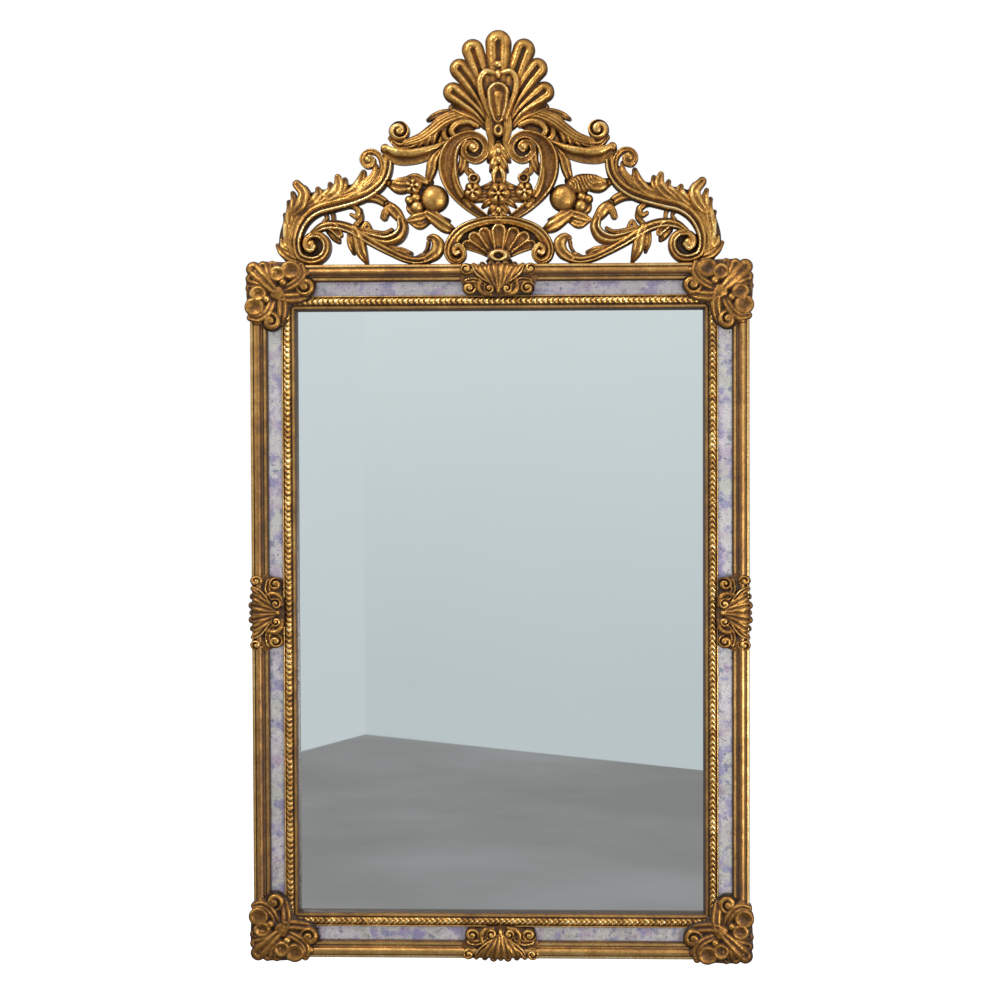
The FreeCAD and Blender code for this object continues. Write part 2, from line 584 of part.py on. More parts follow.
# ---- ornaments over the mouldings ------------------------------------------------------------
def corner_ornament():
    """A leaf over the top left corner, with a scroll along each side."""
    left, back = -FRAME_WIDTH / 2, ORNAMENT_BACK

    def spots(points, swap):
        return [(left + (b if swap else a), -(a if swap else b), width) for a, b, width in points]

    solids = []
    for swap in (False, True):
        lift = 0.3 if swap else 0.0
        solids.append(strip(spots([(36, 40, 22), (58, 52, 20), (80, 55, 16), (100, 56, 13), (115, 47, 11),
                                   (112, 36, 8)], swap), 26 + lift, 4, back))
        solids.append(strip(spots([(44, 44, 14), (56, 26, 11), (66, 8, 9), (82, 2, 9), (94, 14, 10),
                                   (93, 30, 9), (82, 40, 8)], swap), 29 + lift, 3, back))
        for centre, radius, side in (((103, 44), 13, 27), ((76, 24), 17, 24), ((106, 15), 9, 25)):
            a, b = reversed(centre) if swap else centre
            solids.append(curl(left + a, -b, radius, side + lift, back))
        for tip_a, tip_b, radius, side in ((3, 3, 11, 25), (25, 3, 11, 26.5), (44, 4, 10, 27.5)):
            if tip_a == tip_b and swap:
                continue
            a, b = (tip_b, tip_a) if swap else (tip_a, tip_b)
            solids.append(lobe(left + 40, -40, 24, left + a, -b, radius, side + lift, -4, back))
    solids.append(dome(left + 46, -46, 15, 28, 6, back))
    return joined(solids)


def cartouche(place, back=ORNAMENT_BACK):
    """A fan of ribs at the frame's edge between two pairs of curls; place(along, u) sets it down."""
    solids = []
    for along in (-24, -12, 0, 12, 24):
        base_x, base_z = place(along * 0.35, 44)
        tip_x, tip_z = place(along, 6)
        solids.append(lobe(base_x, base_z, 9, tip_x, tip_z, 7.5, 27 - abs(along) / 12, -3, back))
    for end in (-1, 1):
        lift = 0.3 * end
        for along, u, radius, side in ((16, 50, 12.5, 23), (44, 47, 12, 22), (61, 12, 11, 26)):
            x, z = place(along * end, u)
            solids.append(curl(x, z, radius, side + lift, back))
        arm = [place(along * end, u) + (width,) for along, u, width in
               ((8, 38, 10), (26, 36, 12), (44, 28, 13), (58, 20, 10))]
        solids.append(strip(arm, 25 + lift, 4, back))
    return joined(solids)


def ornaments():
    """Four corner ornaments and four cartouches, fitted over the mouldings."""
    covered = {side: mitred(side, COVERED_SECTION) for side in ("top", "left")}
    under_crest = block(-CREST_CORNER_X, 0, 0, SIGHT_EDGE, CUT_BACK, CUT_FRONT)
    corner = without(corner_ornament(), [covered["top"], covered["left"], under_crest])
    middle = -FRAME_HEIGHT / 2
    top = without(cartouche(lambda along, u: side_point("top", u, along)), [covered["top"]])
    left = without(cartouche(lambda along, u: side_point("left", u, middle + along)), [covered["left"]])
    return {"corner_top_left": corner,
            "corner_top_right": mirrored(corner),
            "corner_bottom_left": upside_down(corner),
            "corner_bottom_right": mirrored(upside_down(corner)),
            "cartouche_top": top,
            "cartouche_bottom": upside_down(top),
            "cartouche_left": left,
            "cartouche_right": mirrored(left)}


# ---- the whole mirror ------------------------------------------------------------------------
def frame_pieces():
    """Back frame, mouldings and leaf bands, with the holes and housing for the fixings."""
    pieces = {}
    for side in SIDES:
        pieces["back_frame_%s" % side] = mitred(side, BACK_FRAME_SECTION).cut(
            board_screws(FIT) + batten_screws(FIT) + strap_screws(FIT) + dowels(FIT) + [batten()])
        pieces["outer_moulding_%s" % side] = mitred(side, OUTER_SECTION).cut(dowels(FIT) + [batten()])
        pieces["inner_moulding_%s" % side] = mitred(side, INNER_SECTION)
        pieces["leaf_band_%s" % side] = leaf_band(side)
    return pieces


def all_pieces():
    pieces = frame_pieces()
    pieces.update(mirror_strips())
    pieces.update(ornaments())
    pieces.update(crest_pieces())
    pieces["mirror_plate"] = inset_plate(PLATE_EDGE, PLATE_BACK, PLATE_THICK)
    pieces["backboard"] = inset_plate(BOARD_EDGE, 0, BOARD_THICK).cut(board_screws(FIT))
    pieces["glazing_blocks"] = Part.makeCompound(glazing_blocks())
    pieces["backboard_screws"] = Part.makeCompound(board_screws())
    pieces["crest_batten"] = batten().cut(batten_screws(FIT))
    pieces["batten_screws"] = Part.makeCompound(batten_screws())
    pieces["crest_dowels"] = Part.makeCompound(dowels())
    pieces["hanger_screws"] = Part.makeCompound(strap_screws())
    pieces["wall_pads"] = Part.makeCompound(wall_pads())
    for name, x in (("left", -HANGER_X), ("right", HANGER_X)):
        pieces["hanger_strap_%s" % name] = hanger_strap(x)
        pieces["hanger_ring_%s" % name] = hanger_ring(x)
    return pieces


os.makedirs("parts", exist_ok=True)
for node, piece in all_pieces().items():
    piece.exportStep("parts/%s.step" % node)
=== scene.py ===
"""Looks for the carved and gilded wall mirror: the crest, corner ornaments, cartouches and leaf bands are
carved here in full, and every other piece keeps its solid and gets its finish.

Carving is drawn in millimetres as in the workshop drawing: x to the right of the middle, z up from the top
edge of the frame, v forward from the back of the frame. In a moulding's section u runs inward.
"""
import math

import bmesh
import bpy
import numpy as np
from mathutils import Matrix, Vector


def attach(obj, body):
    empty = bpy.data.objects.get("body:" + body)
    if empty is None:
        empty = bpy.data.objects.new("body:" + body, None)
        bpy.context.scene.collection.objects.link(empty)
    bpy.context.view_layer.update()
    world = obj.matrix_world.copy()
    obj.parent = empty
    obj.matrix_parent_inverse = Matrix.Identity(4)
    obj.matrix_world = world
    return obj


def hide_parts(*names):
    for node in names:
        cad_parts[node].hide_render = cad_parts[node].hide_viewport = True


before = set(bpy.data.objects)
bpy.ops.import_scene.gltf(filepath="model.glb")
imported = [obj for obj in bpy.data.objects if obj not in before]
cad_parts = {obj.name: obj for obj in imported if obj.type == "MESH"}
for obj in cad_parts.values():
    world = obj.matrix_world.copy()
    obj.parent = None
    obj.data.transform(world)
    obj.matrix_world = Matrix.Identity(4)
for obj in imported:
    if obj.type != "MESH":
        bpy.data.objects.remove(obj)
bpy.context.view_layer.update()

# ---- the frame's measures, mm ------------------------------------------------------------------
FRAME_WIDTH = 900.0
FRAME_HEIGHT = 1256.0
WALL_GAP = 9.0
HANGER_DROP = 300.0          # from the frame's top edge down to the rings' hinges, where the scene's z is 0
MOULDINGS_WIDTH = 83.0       # from the frame's outer edge to the glass
LEAF_FROM, LEAF_TO, LEAF_BASE = 58.7, 72.8, 33.0
# Section over the mouldings that the ornaments lie on, as (u, v)
COVERED = [(0, 44), (6.45, 44), (6.5, 45.6), (10.4, 49.55), (16.1, 49.55), (20.05, 45.6), (20.1, 42.5),
           (22.5, 42), (22.6, 40), (28, 40), (31, 34), (31.1, 30.2), (55.7, 30.2), (55.8, 36.25),
           (60, 36.25), (62.75, 39.05), (68.75, 39.05), (72.9, 34.85), (74.5, 34.5), (78.5, 33.5),
           (83.4, 25.4), (83.5, 16)]

# ---- how the carving is cut, mm ----------------------------------------------------------------
CELL = 1.0                   # spacing of the carved surface's points
LINE_STEP = 0.9              # spacing of the points along a stroke's line
STRETCH = 24                 # points of a stroke's line that are measured in one go
SPILL = 1.3                  # how far a stroke's height is known past its edge
OUTSIDE = -4 * SPILL
NOTHING = -1000.0            # the height where nothing is drawn
FAR = 1e9
NARROWEST = 1.5              # least width of a stroke
STEEPEST = 0.85              # most that a stroke rises for half its width
BOLDNESS = 1.45              # how much deeper the carving is than drawn
TIP_DROOP = 6.0              # how far a leaf's tip bends back
SOFTEN = 0.55                # rounding of edges by the gesso
TOOL_MARKS = 0.16            # unevenness left by the gouge
THINNEST, THIN_SLOPE = 0.8, 0.7   # the carving ends where its wood gets thinner than this
LEAST_CUT = 0.04             # how near to a grid point an outline may cross, in cells
KEPT_SHARE = 0.65            # how much of the height there comes from the point that is kept
# How raised a point counts against what lies round it, which sets the carving's painted shade and
# highlight: (share, how far round, difference that counts fully)
RAISED_BY = [(0.6, 2.6, 2.2), (0.4, 8.0, 7.0)]
BACK_BOLE_AND_SIDE_SHADE = -0.5           # what the back counts, so that it is dark bole and the sides darken towards it as painted shade
SHARP_EDGE = math.radians(58)

CREST_BACK = 8.0
CREST_FOOT_GAP = 0.02        # between the crest and the frame's top edge
OVERLAP = 0.4                # how far a piece of the crest runs under the one that lies over it
SAME_PLACE = 0.01
CORNER_SPAN = (-14.0, 140.0)
CARTOUCHE_HALF = 76.0
CARTOUCHE_SPAN = (-10, 66)   # over the mouldings, as u
ORNAMENT_BACK = 24.0         # where an ornament stands out past the frame
ORNAMENT_GAP = 0.05          # between an ornament and the mouldings under it
ORNAMENT_REACH = 7.8         # how far the ornaments stand out past the frame's edge
ORNAMENT_FRONT = 57.5


def place(x, z, v):
    """A point of the drawing as a point of the scene, in metres."""
    return Vector((x, -(WALL_GAP + v), HANGER_DROP + z)) / 1000


def smooth_line(points):
    """Points about 1 mm apart along a smooth line through the given ones, all columns carried along."""
    p = np.array(points, float)
    if len(p) == 2:
        p = np.vstack([p[0], (p[0] + p[1]) / 2, p[1]])
    ends = np.vstack([2 * p[0] - p[1], p, 2 * p[-1] - p[-2]])
    gaps = np.maximum(np.hypot(*np.diff(ends[:, :2], axis=0).T), 1e-6) ** 0.5
    line = []
    for i in range(1, len(ends) - 2):
        g0, g1, g2 = gaps[i - 1:i + 2]
        a, b, c, d = ends[i - 1:i + 3]
        start = ((b - a) / g0 - (c - a) / (g0 + g1) + (c - b) / g1) * g1
        stop = ((c - b) / g1 - (d - b) / (g1 + g2) + (d - c) / g2) * g1
        count = max(2, int(math.dist(b[:2], c[:2]) / LINE_STEP))
        t = np.linspace(0, 1, count, endpoint=i == len(ends) - 3)[:, None]
        line.append((2 * b - 2 * c + start + stop) * t ** 3 + (3 * c - 3 * b - 2 * start - stop) * t ** 2
                    + start * t + b)
    line = np.vstack(line)
    line[:, 2] = np.maximum(line[:, 2], NARROWEST)
    return line


# Shapes of a stroke's surface: s is -1 at its right edge and 1 at its left, run is millimetres along it.
def round_top(s, run):
    return np.sqrt(np.clip(1 - s * s, 0, 1))


def hollow(s, run):
    """A channel between two raised rims."""
    r = np.abs(s)
    return np.where(r < 0.8, 0.15 + 0.85 * (r / 0.8) ** 2.2, 1 - 0.55 * ((r - 0.8) / 0.2) ** 2)


def leaf(s, run):
    """A full leaf lobe: a groove down the middle and a soft swelling on each side."""
    r = np.abs(s)
    swell = 0.64 + 0.36 * np.clip(r / 0.42, 0, 1) ** 1.3
    return swell * np.sqrt(np.clip(1 - (0.95 * np.clip((r - 0.3) / 0.7, 0, 1)) ** 2, 0, 1))


def petal(s, run):
    """A lobe with a thick rim round a narrow dark slot."""
    r = np.abs(s)
    rim = 1 - 0.85 * np.clip((r - 0.42) / 0.58, 0, 1) ** 2
    return rim - 0.7 * np.exp(-(r / 0.2) ** 2)


def reeds(s, run):
    """Parallel strands that run along the stroke."""
    body = 0.62 * np.sqrt(np.clip(1 - 0.9 * s * s, 0, 1))
    return body + 0.3 * np.abs(np.cos(np.pi * 1.75 * (s + 0.06))) ** 0.7


def lip(s, run):
    """A strand with a sharp raised edge on its left and a hollow beside it."""
    edge = 1 - 1.1 * ((s - 0.68) / 0.32) ** 2 * (s > 0.68)
    beside = 0.35 + 0.35 * np.cos(np.clip((s + 0.25) / 0.75, -1, 1) * np.pi)
    return np.where(s > 0.45, edge, beside + 0.65 * np.clip((s - 0.1) / 0.35, 0, 1) ** 2)


def lip_right(s, run):
    return lip(-s, run)


def ribs(s, run):
    """Ribs across the stroke, as on a ripe pod."""
    body = np.sqrt(np.clip(1 - 0.85 * s * s, 0, 1))
    return body * (0.87 + 0.13 * np.cos(2 * np.pi * (run / 5.5 + 0.5 * s)))


def ledge(s, run):
    """Flat and lit above, sloping away below."""
    return 0.15 + 0.85 / (1 + np.exp(-(s + 0.05) * 9)) - 0.25 * np.clip((s - 0.75) / 0.25, 0, 1)


SHAPES = {"round": round_top, "hollow": hollow, "leaf": leaf, "petal": petal, "reeds": reeds, "lip": lip,
          "lip_right": lip_right, "ribs": ribs, "ledge": ledge}
ONE_SIDED = ("lip", "lip_right", "ledge")     # drawn the other way round when they are mirrored


def nearest_on_line(gx, gz, x, z, half):
    """How far each grid point lies from a stroke's line, in half widths, and the line's nearest point."""
    best = np.full(gx.shape, FAR)
    which = np.zeros(gx.shape, int)
    for start in range(0, len(x), STRETCH):
        part = slice(start, start + STRETCH)
        wide = half[part].max() + SPILL
        columns = ((gx[0] > x[part].min() - wide) & (gx[0] < x[part].max() + wide)).nonzero()[0]
        rows = ((gz[:, 0] > z[part].min() - wide) & (gz[:, 0] < z[part].max() + wide)).nonzero()[0]
        if not len(columns) or not len(rows):
            continue
        box = (slice(rows[0], rows[-1] + 1), slice(columns[0], columns[-1] + 1))
        away = np.hypot(gx[box][..., None] - x[part], gz[box][..., None] - z[part]) / half[part]
        better = away.min(-1) < best[box]
        best[box] = np.where(better, away.min(-1), best[box])
        which[box] = np.where(better, away.argmin(-1) + start, which[box])
    return best, which


class Relief:
    """A carved piece on a grid: its surface's height, and how far each point lies inside its outline."""

    def __init__(self, x0, x1, z0, z1):
        self.x = np.arange(x0, x1 + CELL, CELL)
        self.z = np.arange(z0, z1 + CELL, CELL)
        self.top = np.full((len(self.z), len(self.x)), NOTHING)
        self.inside = np.full(self.top.shape, OUTSIDE)
        self.under = np.full(self.top.shape, CREST_BACK)

    def window(self, x0, x1, z0, z1):
        """The part of the grid between these limits, and its points."""
        i0, i1 = np.searchsorted(self.x, (x0, x1))
        j0, j1 = np.searchsorted(self.z, (z0, z1))
        return (slice(j0, j1), slice(i0, i1)), *np.meshgrid(self.x[i0:i1], self.z[j0:j1])

    def add(self, area, inside, height):
        """Lays a shape over what is carved already; the higher surface shows."""
        near = inside > -SPILL
        self.inside[area] = np.maximum(self.inside[area], inside)
        self.top[area] = np.where(near, np.maximum(self.top[area], height), self.top[area])

    def stroke(self, shape, rise, points):
        """Carves a strip through points of (x, z, width, v at its edges), rising by rise at its crown."""
        x, z, width, v = smooth_line(points).T
        half = width / 2
        along_x, along_z = np.gradient(x), np.gradient(z)
        length = np.maximum(np.hypot(along_x, along_z), 1e-6)
        run = np.concatenate([[0], np.cumsum(np.hypot(np.diff(x), np.diff(z)))])
        reach = half.max() + SPILL
        area, gx, gz = self.window(x.min() - reach, x.max() + reach, z.min() - reach, z.max() + reach)
        away, which = nearest_on_line(gx, gz, x, z, half)
        side = (gz - z[which]) * (along_x / length)[which] - (gx - x[which]) * (along_z / length)[which]
        s = np.clip(np.copysign(away, side), -1, 1)
        inside = np.where(away < FAR, half[which] * (1 - away), OUTSIDE)
        crown = np.minimum(rise * BOLDNESS, half[which] * STEEPEST)
        droop = TIP_DROOP * (run[which] / run[-1]) ** 4 if shape == "leaf" else 0
        self.add(area, inside, v[which] - droop + crown * SHAPES[shape](s, run[which]))

    def boss(self, shape, rise, x, z, rx, rz, v, count=0, turn=0.0):
        """Carves a round boss: a dome, a ring or a dish round an eye, a saucer, a flower of count petals,
        or a curl that winds one way for a count of 1 and the other way for -1."""
        reach = max(rx, rz) + SPILL
        area, gx, gz = self.window(x - reach, x + reach, z - reach, z + reach)
        r = np.hypot((gx - x) / rx, (gz - z) / rz)
        angle = np.arctan2(gz - z, gx - x) + turn
        if shape == "dome":
            height = round_top(np.clip(r, 0, 1), 0)
        elif shape == "ring":
            rim = np.where(r > 0.5, 1 - 0.9 * ((r - 0.78) / 0.25) ** 2, 0)
            height = np.clip(rim + 0.9 * np.exp(-(r / 0.2) ** 4), 0, 1)
        elif shape == "dish":
            height = 1 - 0.75 * np.exp(-(r / 0.42) ** 4) - 0.6 * np.clip((r - 0.68) / 0.32, 0, 1) ** 2
        elif shape == "saucer":
            height = 1 - 0.5 * np.exp(-(r / 0.6) ** 3) - 0.5 * np.clip((r - 0.78) / 0.22, 0, 1) ** 2
        elif shape == "flower":
            lobe = np.abs(np.cos(count * angle / 2))
            r = r / (0.84 + 0.16 * lobe)
            height = 0.25 + 0.6 * lobe ** 0.7 * np.sin(np.clip(r, 0, 1) * np.pi) ** 0.8
            height = np.maximum(height, 1.1 * np.exp(-(r / 0.3) ** 4))
        elif shape == "curl":
            wind = np.mod(1.35 * r + count * angle / (2 * np.pi), 1)
            groove = np.exp(-((wind - 0.5) / 0.17) ** 2) * np.clip(r * 4 - 0.6, 0, 1)
            height = np.sqrt(np.clip(1 - 0.9 * np.clip(r, 0, 1) ** 3, 0, 1)) - 0.8 * groove
        self.add(area, (1 - r) * min(rx, rz), v + BOLDNESS * rise * height)

    def draw(self, plan, mirror=False):
        """Carries out a list of strokes and bosses, also on the other side of the middle where asked."""
        for side in (1, -1) if mirror else (1,):
            for shape, rise, *drawn in plan:
                if isinstance(drawn[0], list):
                    points = [(side * p[0], *p[1:]) for p in drawn[0]]
                    if side < 0 and shape in ONE_SIDED:
                        points.reverse()
                    self.stroke(shape, rise, points)
                else:
                    self.boss(shape, rise, side * drawn[0], *drawn[1:])


def blurred(values, reach):
    """Gaussian blur of a grid, reach in cells."""
    span = int(3 * reach) + 1
    weights = np.exp(-0.5 * (np.arange(-span, span + 1) / reach) ** 2)
    weights /= weights.sum()
    for axis in (0, 1):
        padded = np.pad(values, [(span, span) if a == axis else (0, 0) for a in (0, 1)], mode="edge")
        values = sum(w * np.take(padded, np.arange(k, k + values.shape[axis]), axis=axis)
                     for k, w in enumerate(weights))
    return values


def local_mean(values, weight, reach):
    """The mean round each point, each neighbour counted by its weight."""
    return blurred(values * weight, reach) / np.maximum(blurred(weight, reach), 1e-3)


def tool_marks(shape, seed):
    rng = np.random.default_rng(seed)
    marks = blurred(rng.standard_normal(shape), 1.3) * 3 + blurred(rng.standard_normal(shape), 5) * 10
    return TOOL_MARKS * marks


def carved_surface(relief, seed):
    """The carving's height after gesso and gouge, and how raised each point is, from -1 to 1."""
    known = (relief.top > NOTHING / 2).astype(float)
    spread = local_mean(np.where(known > 0, relief.top, 0), known, 1.0)
    top = np.where(known > 0, relief.top, spread)
    top = local_mean(top, known + 1e-3, SOFTEN / CELL) + tool_marks(top.shape, seed)
    body = (relief.inside > 0).astype(float)
    raised = sum(share * np.clip((top - local_mean(top, body, reach / CELL)) / full, -1, 1)
                 for share, reach, full in RAISED_BY)
    return top, raised


# How an outline crosses a cell: a to d are its corners, anticlockwise, and 0 to 3 the crossings between
CELLS = {1: ["a03"], 2: ["b10"], 3: ["ab13"], 4: ["c21"], 5: ["a03", "c21"], 6: ["bc20"], 7: ["abc23"],
         8: ["d32"], 9: ["a02d"], 10: ["b10", "d32"], 11: ["ab12d"], 12: ["cd31"], 13: ["a01cd"],
         14: ["bcd30"], 15: ["abcd"]}


def cut_out(edge, fields):
    """Saws a grid out along the line where edge is 0: points, faces, and the pairs of points on the cut."""
    nz, nx = edge.shape
    inner = edge > 0
    corner = np.arange(nz * nx).reshape(nz, nx)
    across = nz * nx + np.arange(nz * (nx - 1)).reshape(nz, nx - 1)
    up = nz * nx + nz * (nx - 1) + np.arange((nz - 1) * nx).reshape(nz - 1, nx)

    def crossing(edge_a, edge_b, a, b):
        """The point on the line between a and b, with the height mostly of the one that is kept."""
        t = edge_a / np.where(edge_a == edge_b, 1, edge_a - edge_b)
        middle = a + (b - a) * np.clip(t, LEAST_CUT, 1 - LEAST_CUT)[..., None]
        kept = np.where((edge_a > 0)[..., None], a, b)
        middle[..., 2:] = (1 - KEPT_SHARE) * middle[..., 2:] + KEPT_SHARE * kept[..., 2:]
        return middle.reshape(-1, fields.shape[-1])

    points = np.vstack([fields.reshape(-1, fields.shape[-1]),
                        crossing(edge[:, :-1], edge[:, 1:], fields[:, :-1], fields[:, 1:]),
                        crossing(edge[:-1], edge[1:], fields[:-1], fields[1:])])
    code = inner[:-1, :-1] * 1 + inner[:-1, 1:] * 2 + inner[1:, 1:] * 4 + inner[1:, :-1] * 8
    ids = {"a": corner[:-1, :-1], "b": corner[:-1, 1:], "c": corner[1:, 1:], "d": corner[1:, :-1],
           "0": across[:-1], "1": up[:, 1:], "2": across[1:], "3": up[:, :-1]}
    faces, rims = [], []
    for case, outlines in CELLS.items():
        where = code == case
        for outline in outlines if where.any() else []:
            loop = np.stack([ids[letter][where] for letter in outline], 1)
            faces.append(loop)
            for k, letter in enumerate(outline):
                after = (k + 1) % len(outline)
                if letter.isdigit() and outline[after].isdigit():
                    rims.append(loop[:, [k, after]])
    used = np.unique(np.concatenate([f.ravel() for f in faces]))
    renumber = np.zeros(len(points), int)
    renumber[used] = np.arange(len(used))
    return points[used], [renumber[f] for f in faces], renumber[np.vstack(rims)]


def carved_mesh(name, relief, seed, flip=False, upturn=False):
    """The relief as a closed mesh: carved front, upright sides and a back, with how raised each point is.

    flip carves it for the other side of the middle, and upturn for the other end of the frame."""
    top, raised = carved_surface(relief, seed)
    edge = np.minimum(relief.inside, (top - relief.under - THINNEST) * THIN_SLOPE)
    gx, gz = np.meshgrid(relief.x, relief.z)
    points, faces, rims = cut_out(edge, np.stack([gx, gz, top, relief.under, raised], -1))
    x, z, top, under, raised = points.T
    count = len(points)
    drawn_x = -x if flip else x
    drawn_z = -FRAME_HEIGHT - z if upturn else z
    front, back = (np.stack([drawn_x, -(WALL_GAP + v), HANGER_DROP + drawn_z], 1) for v in (top, under))
    every = [row for f in faces for row in f.tolist()]
    every += np.stack([rims[:, 1], rims[:, 0], rims[:, 0] + count, rims[:, 1] + count], 1).tolist()
    every += [row[::-1] for f in faces for row in (f + count).tolist()]
    if flip != upturn:
        every = [row[::-1] for row in every]
    mesh = bpy.data.meshes.new(name)
    mesh.from_pydata((np.vstack([front, back]) / 1000).tolist(), [], every)
    # the back's low value also gives the sides painted shade that deepens towards the back
    level = np.concatenate([raised, np.full(count, BACK_BOLE_AND_SIDE_SHADE)]).astype(np.float32)
    mesh.attributes.new("raised", "FLOAT", "POINT").data.foreach_set("value", level)
    mesh.polygons.foreach_set("use_smooth", [True] * len(every))
    mesh.set_sharp_from_angle(angle=SHARP_EDGE)
    return mesh


# ---- the crest's drawing, right of the middle ---------------------------------------------------
# A stroke is (shape, rise, [(x, z, width, v at its edges), ...]), and a boss is (shape, rise, x, z, half
# its width, half its height, v at its edge, and for flowers and curls a count and a turn)
PALMETTE_SIDE = [
    ("petal", 6, [(9, 244, 12, 22), (17, 292, 21, 24), (32, 345, 34, 24), (46, 385, 40, 23)]),
    ("petal", 6, [(13, 244, 10, 21), (28, 288, 19, 23), (50, 326, 31, 23), (70, 352, 37, 21)]),
    ("petal", 6, [(15, 242, 10, 20), (38, 274, 19, 22), (61, 294, 29, 22), (82, 310, 37, 20)]),
    ("leaf", 5, [(18, 242, 9, 20), (44, 266, 16, 20), (66, 276, 18, 19), (84, 283, 15, 18)]),
    ("round", 6, [(13, 262, 9, 31), (22, 286, 10, 33), (31, 312, 10, 34), (32, 332, 10, 34),
        (22, 345, 10, 34), (8, 343, 9, 33)]),
    ("reeds", 4, [(15, 262, 15, 28), (16, 240, 14, 28), (13, 222, 12, 27), (16, 204, 9, 26)]),
]
PALMETTE_MIDDLE = [
    ("petal", 6, [(0, 240, 18, 22), (0, 300, 28, 24), (0, 352, 41, 25), (0, 397, 47, 24)]),
    ("round", 0.5, [(0, 262, 34, 30), (0, 300, 58, 31), (0, 318, 60, 31)]),
    ("hollow", 7, [(0, 262, 18, 32), (0, 284, 34, 33), (0, 306, 40, 33)]),
    ("round", 4, [(0, 268, 8, 33), (0, 302, 20, 34)]),
    ("dome", 5, 0, 340, 6, 9, 32), ("dome", 4, 0, 358, 8, 7, 31), ("dish", 5, 0, 240, 9, 12, 30),
]
FESTOON_SIDE = [
    ("leaf", 5, [(2, 214, 9, 24), (11, 200, 13, 26), (19, 186, 7, 26)]),
    ("leaf", 5, [(2, 198, 9, 25), (9, 182, 13, 27), (15, 168, 6, 26)]),
    ("round", 4, [(3, 174, 6, 28), (9, 162, 8, 29), (9, 149, 5, 28)]),
    ("leaf", 5, [(4, 152, 9, 22), (16, 142, 12, 24), (30, 138, 9, 24)]),
    ("reeds", 4, [(62, 116, 13, 19), (36, 122, 20, 20), (4, 126, 22, 21)]),
    ("leaf", 5, [(8, 118, 10, 23), (20, 112, 12, 24), (30, 104, 6, 23)]),
    ("flower", 8, 47, 132, 17, 17, 24, 5, 0.3), ("ring", 5, 45, 155, 11, 10, 25),
    ("round", 4, [(52, 170, 8, 22), (46, 164, 8, 24)]),
    ("leaf", 5, [(3, 112, 9, 23), (12, 101, 12, 24), (19, 93, 6, 24)]),
    ("leaf", 5, [(2, 96, 9, 23), (9, 87, 12, 25), (15, 81, 7, 24)]),
]
FESTOON_MIDDLE = [
    ("round", 3, [(0, 80, 22, 19), (0, 105, 28, 20), (0, 150, 24, 19), (0, 182, 32, 20), (0, 216, 22, 19)]),
    ("flower", 8, 0, 127, 20, 20, 27, 6), ("dome", 5, 0, 188, 7, 8, 27), ("dome", 4, 0, 204, 5, 7, 27),
    ("dome", 4, 0, 98, 6, 7, 26),
]
SHELL_SIDE = [
    ("hollow", 6, [(5, 14, 12, 22), (16, 34, 15, 23), (26, 56, 23, 23)]),
    ("hollow", 6, [(8, 14, 11, 21), (26, 32, 14, 22), (45, 49, 21, 22)]),
    ("hollow", 6, [(10, 14, 11, 20), (34, 26, 13, 21), (58, 36, 17, 21)]),
    ("round", 1, [(14, 20, 14, 16), (40, 38, 30, 16), (62, 52, 30, 16), (80, 48, 20, 16)]),
    ("round", 1, [(10, 66, 26, 16), (36, 64, 26, 16), (60, 58, 22, 16)]),
    ("lip", 6, [(0, 81, 13, 29), (20, 80, 14, 29), (42, 75, 15, 29), (62, 67, 16, 29), (78, 55, 16, 29),
        (89, 40, 15, 29), (93, 24, 14, 29), (88, 10, 12, 29), (76, 5, 10, 29), (65, 12, 9, 30),
        (64, 25, 9, 31), (72, 34, 8, 32), (81, 29, 7, 33), (79, 20, 6, 34), (73, 22, 6, 35)]),
    ("dome", 2, 78, 21, 17, 16, 22),
    ("reeds", 5, [(66, 58, 6, 26), (76, 46, 8, 26), (80, 34, 5, 26)]),
]
SHELL_MIDDLE = [
    ("hollow", 6, [(0, 16, 16, 24), (0, 38, 20, 25), (0, 60, 27, 25)]),
    ("dish", 9, 0, 15, 19.5, 12.5, 29), ("dome", 3, 0, 6, 24, 9, 22),
]
SCROLL = [
    ("hollow", 8, [(20, 84, 9, 22), (34, 91, 15, 25), (60, 111, 20, 27), (82, 139, 28, 28),
        (91, 168, 34, 28), (90, 196, 32, 28), (80, 217, 25, 28), (64, 229, 17, 29), (46, 233, 13, 29),
        (30, 226, 12, 29), (22, 211, 12, 29), (26, 196, 12, 29), (40, 187, 11, 29), (54, 191, 11, 29),
        (63, 203, 10, 30), (58, 216, 8, 31), (46, 219, 7, 32), (39, 211, 7, 32), (44, 205, 7, 33)]),
    ("round", 3, [(52, 104, 6, 30), (72, 130, 7, 32), (80, 160, 8, 32), (78, 190, 7, 32)]),
    ("dome", 3, 44, 209, 22, 22, 22), ("dome", 6, 46, 211, 8, 8, 30),
    ("leaf", 6, [(68, 208, 8, 25), (64, 188, 15, 26), (69, 172, 14, 27), (75, 160, 5, 28)]),
    ("reeds", 5, [(60, 184, 10, 25), (58, 168, 9, 26), (50, 160, 7, 26)]),
]
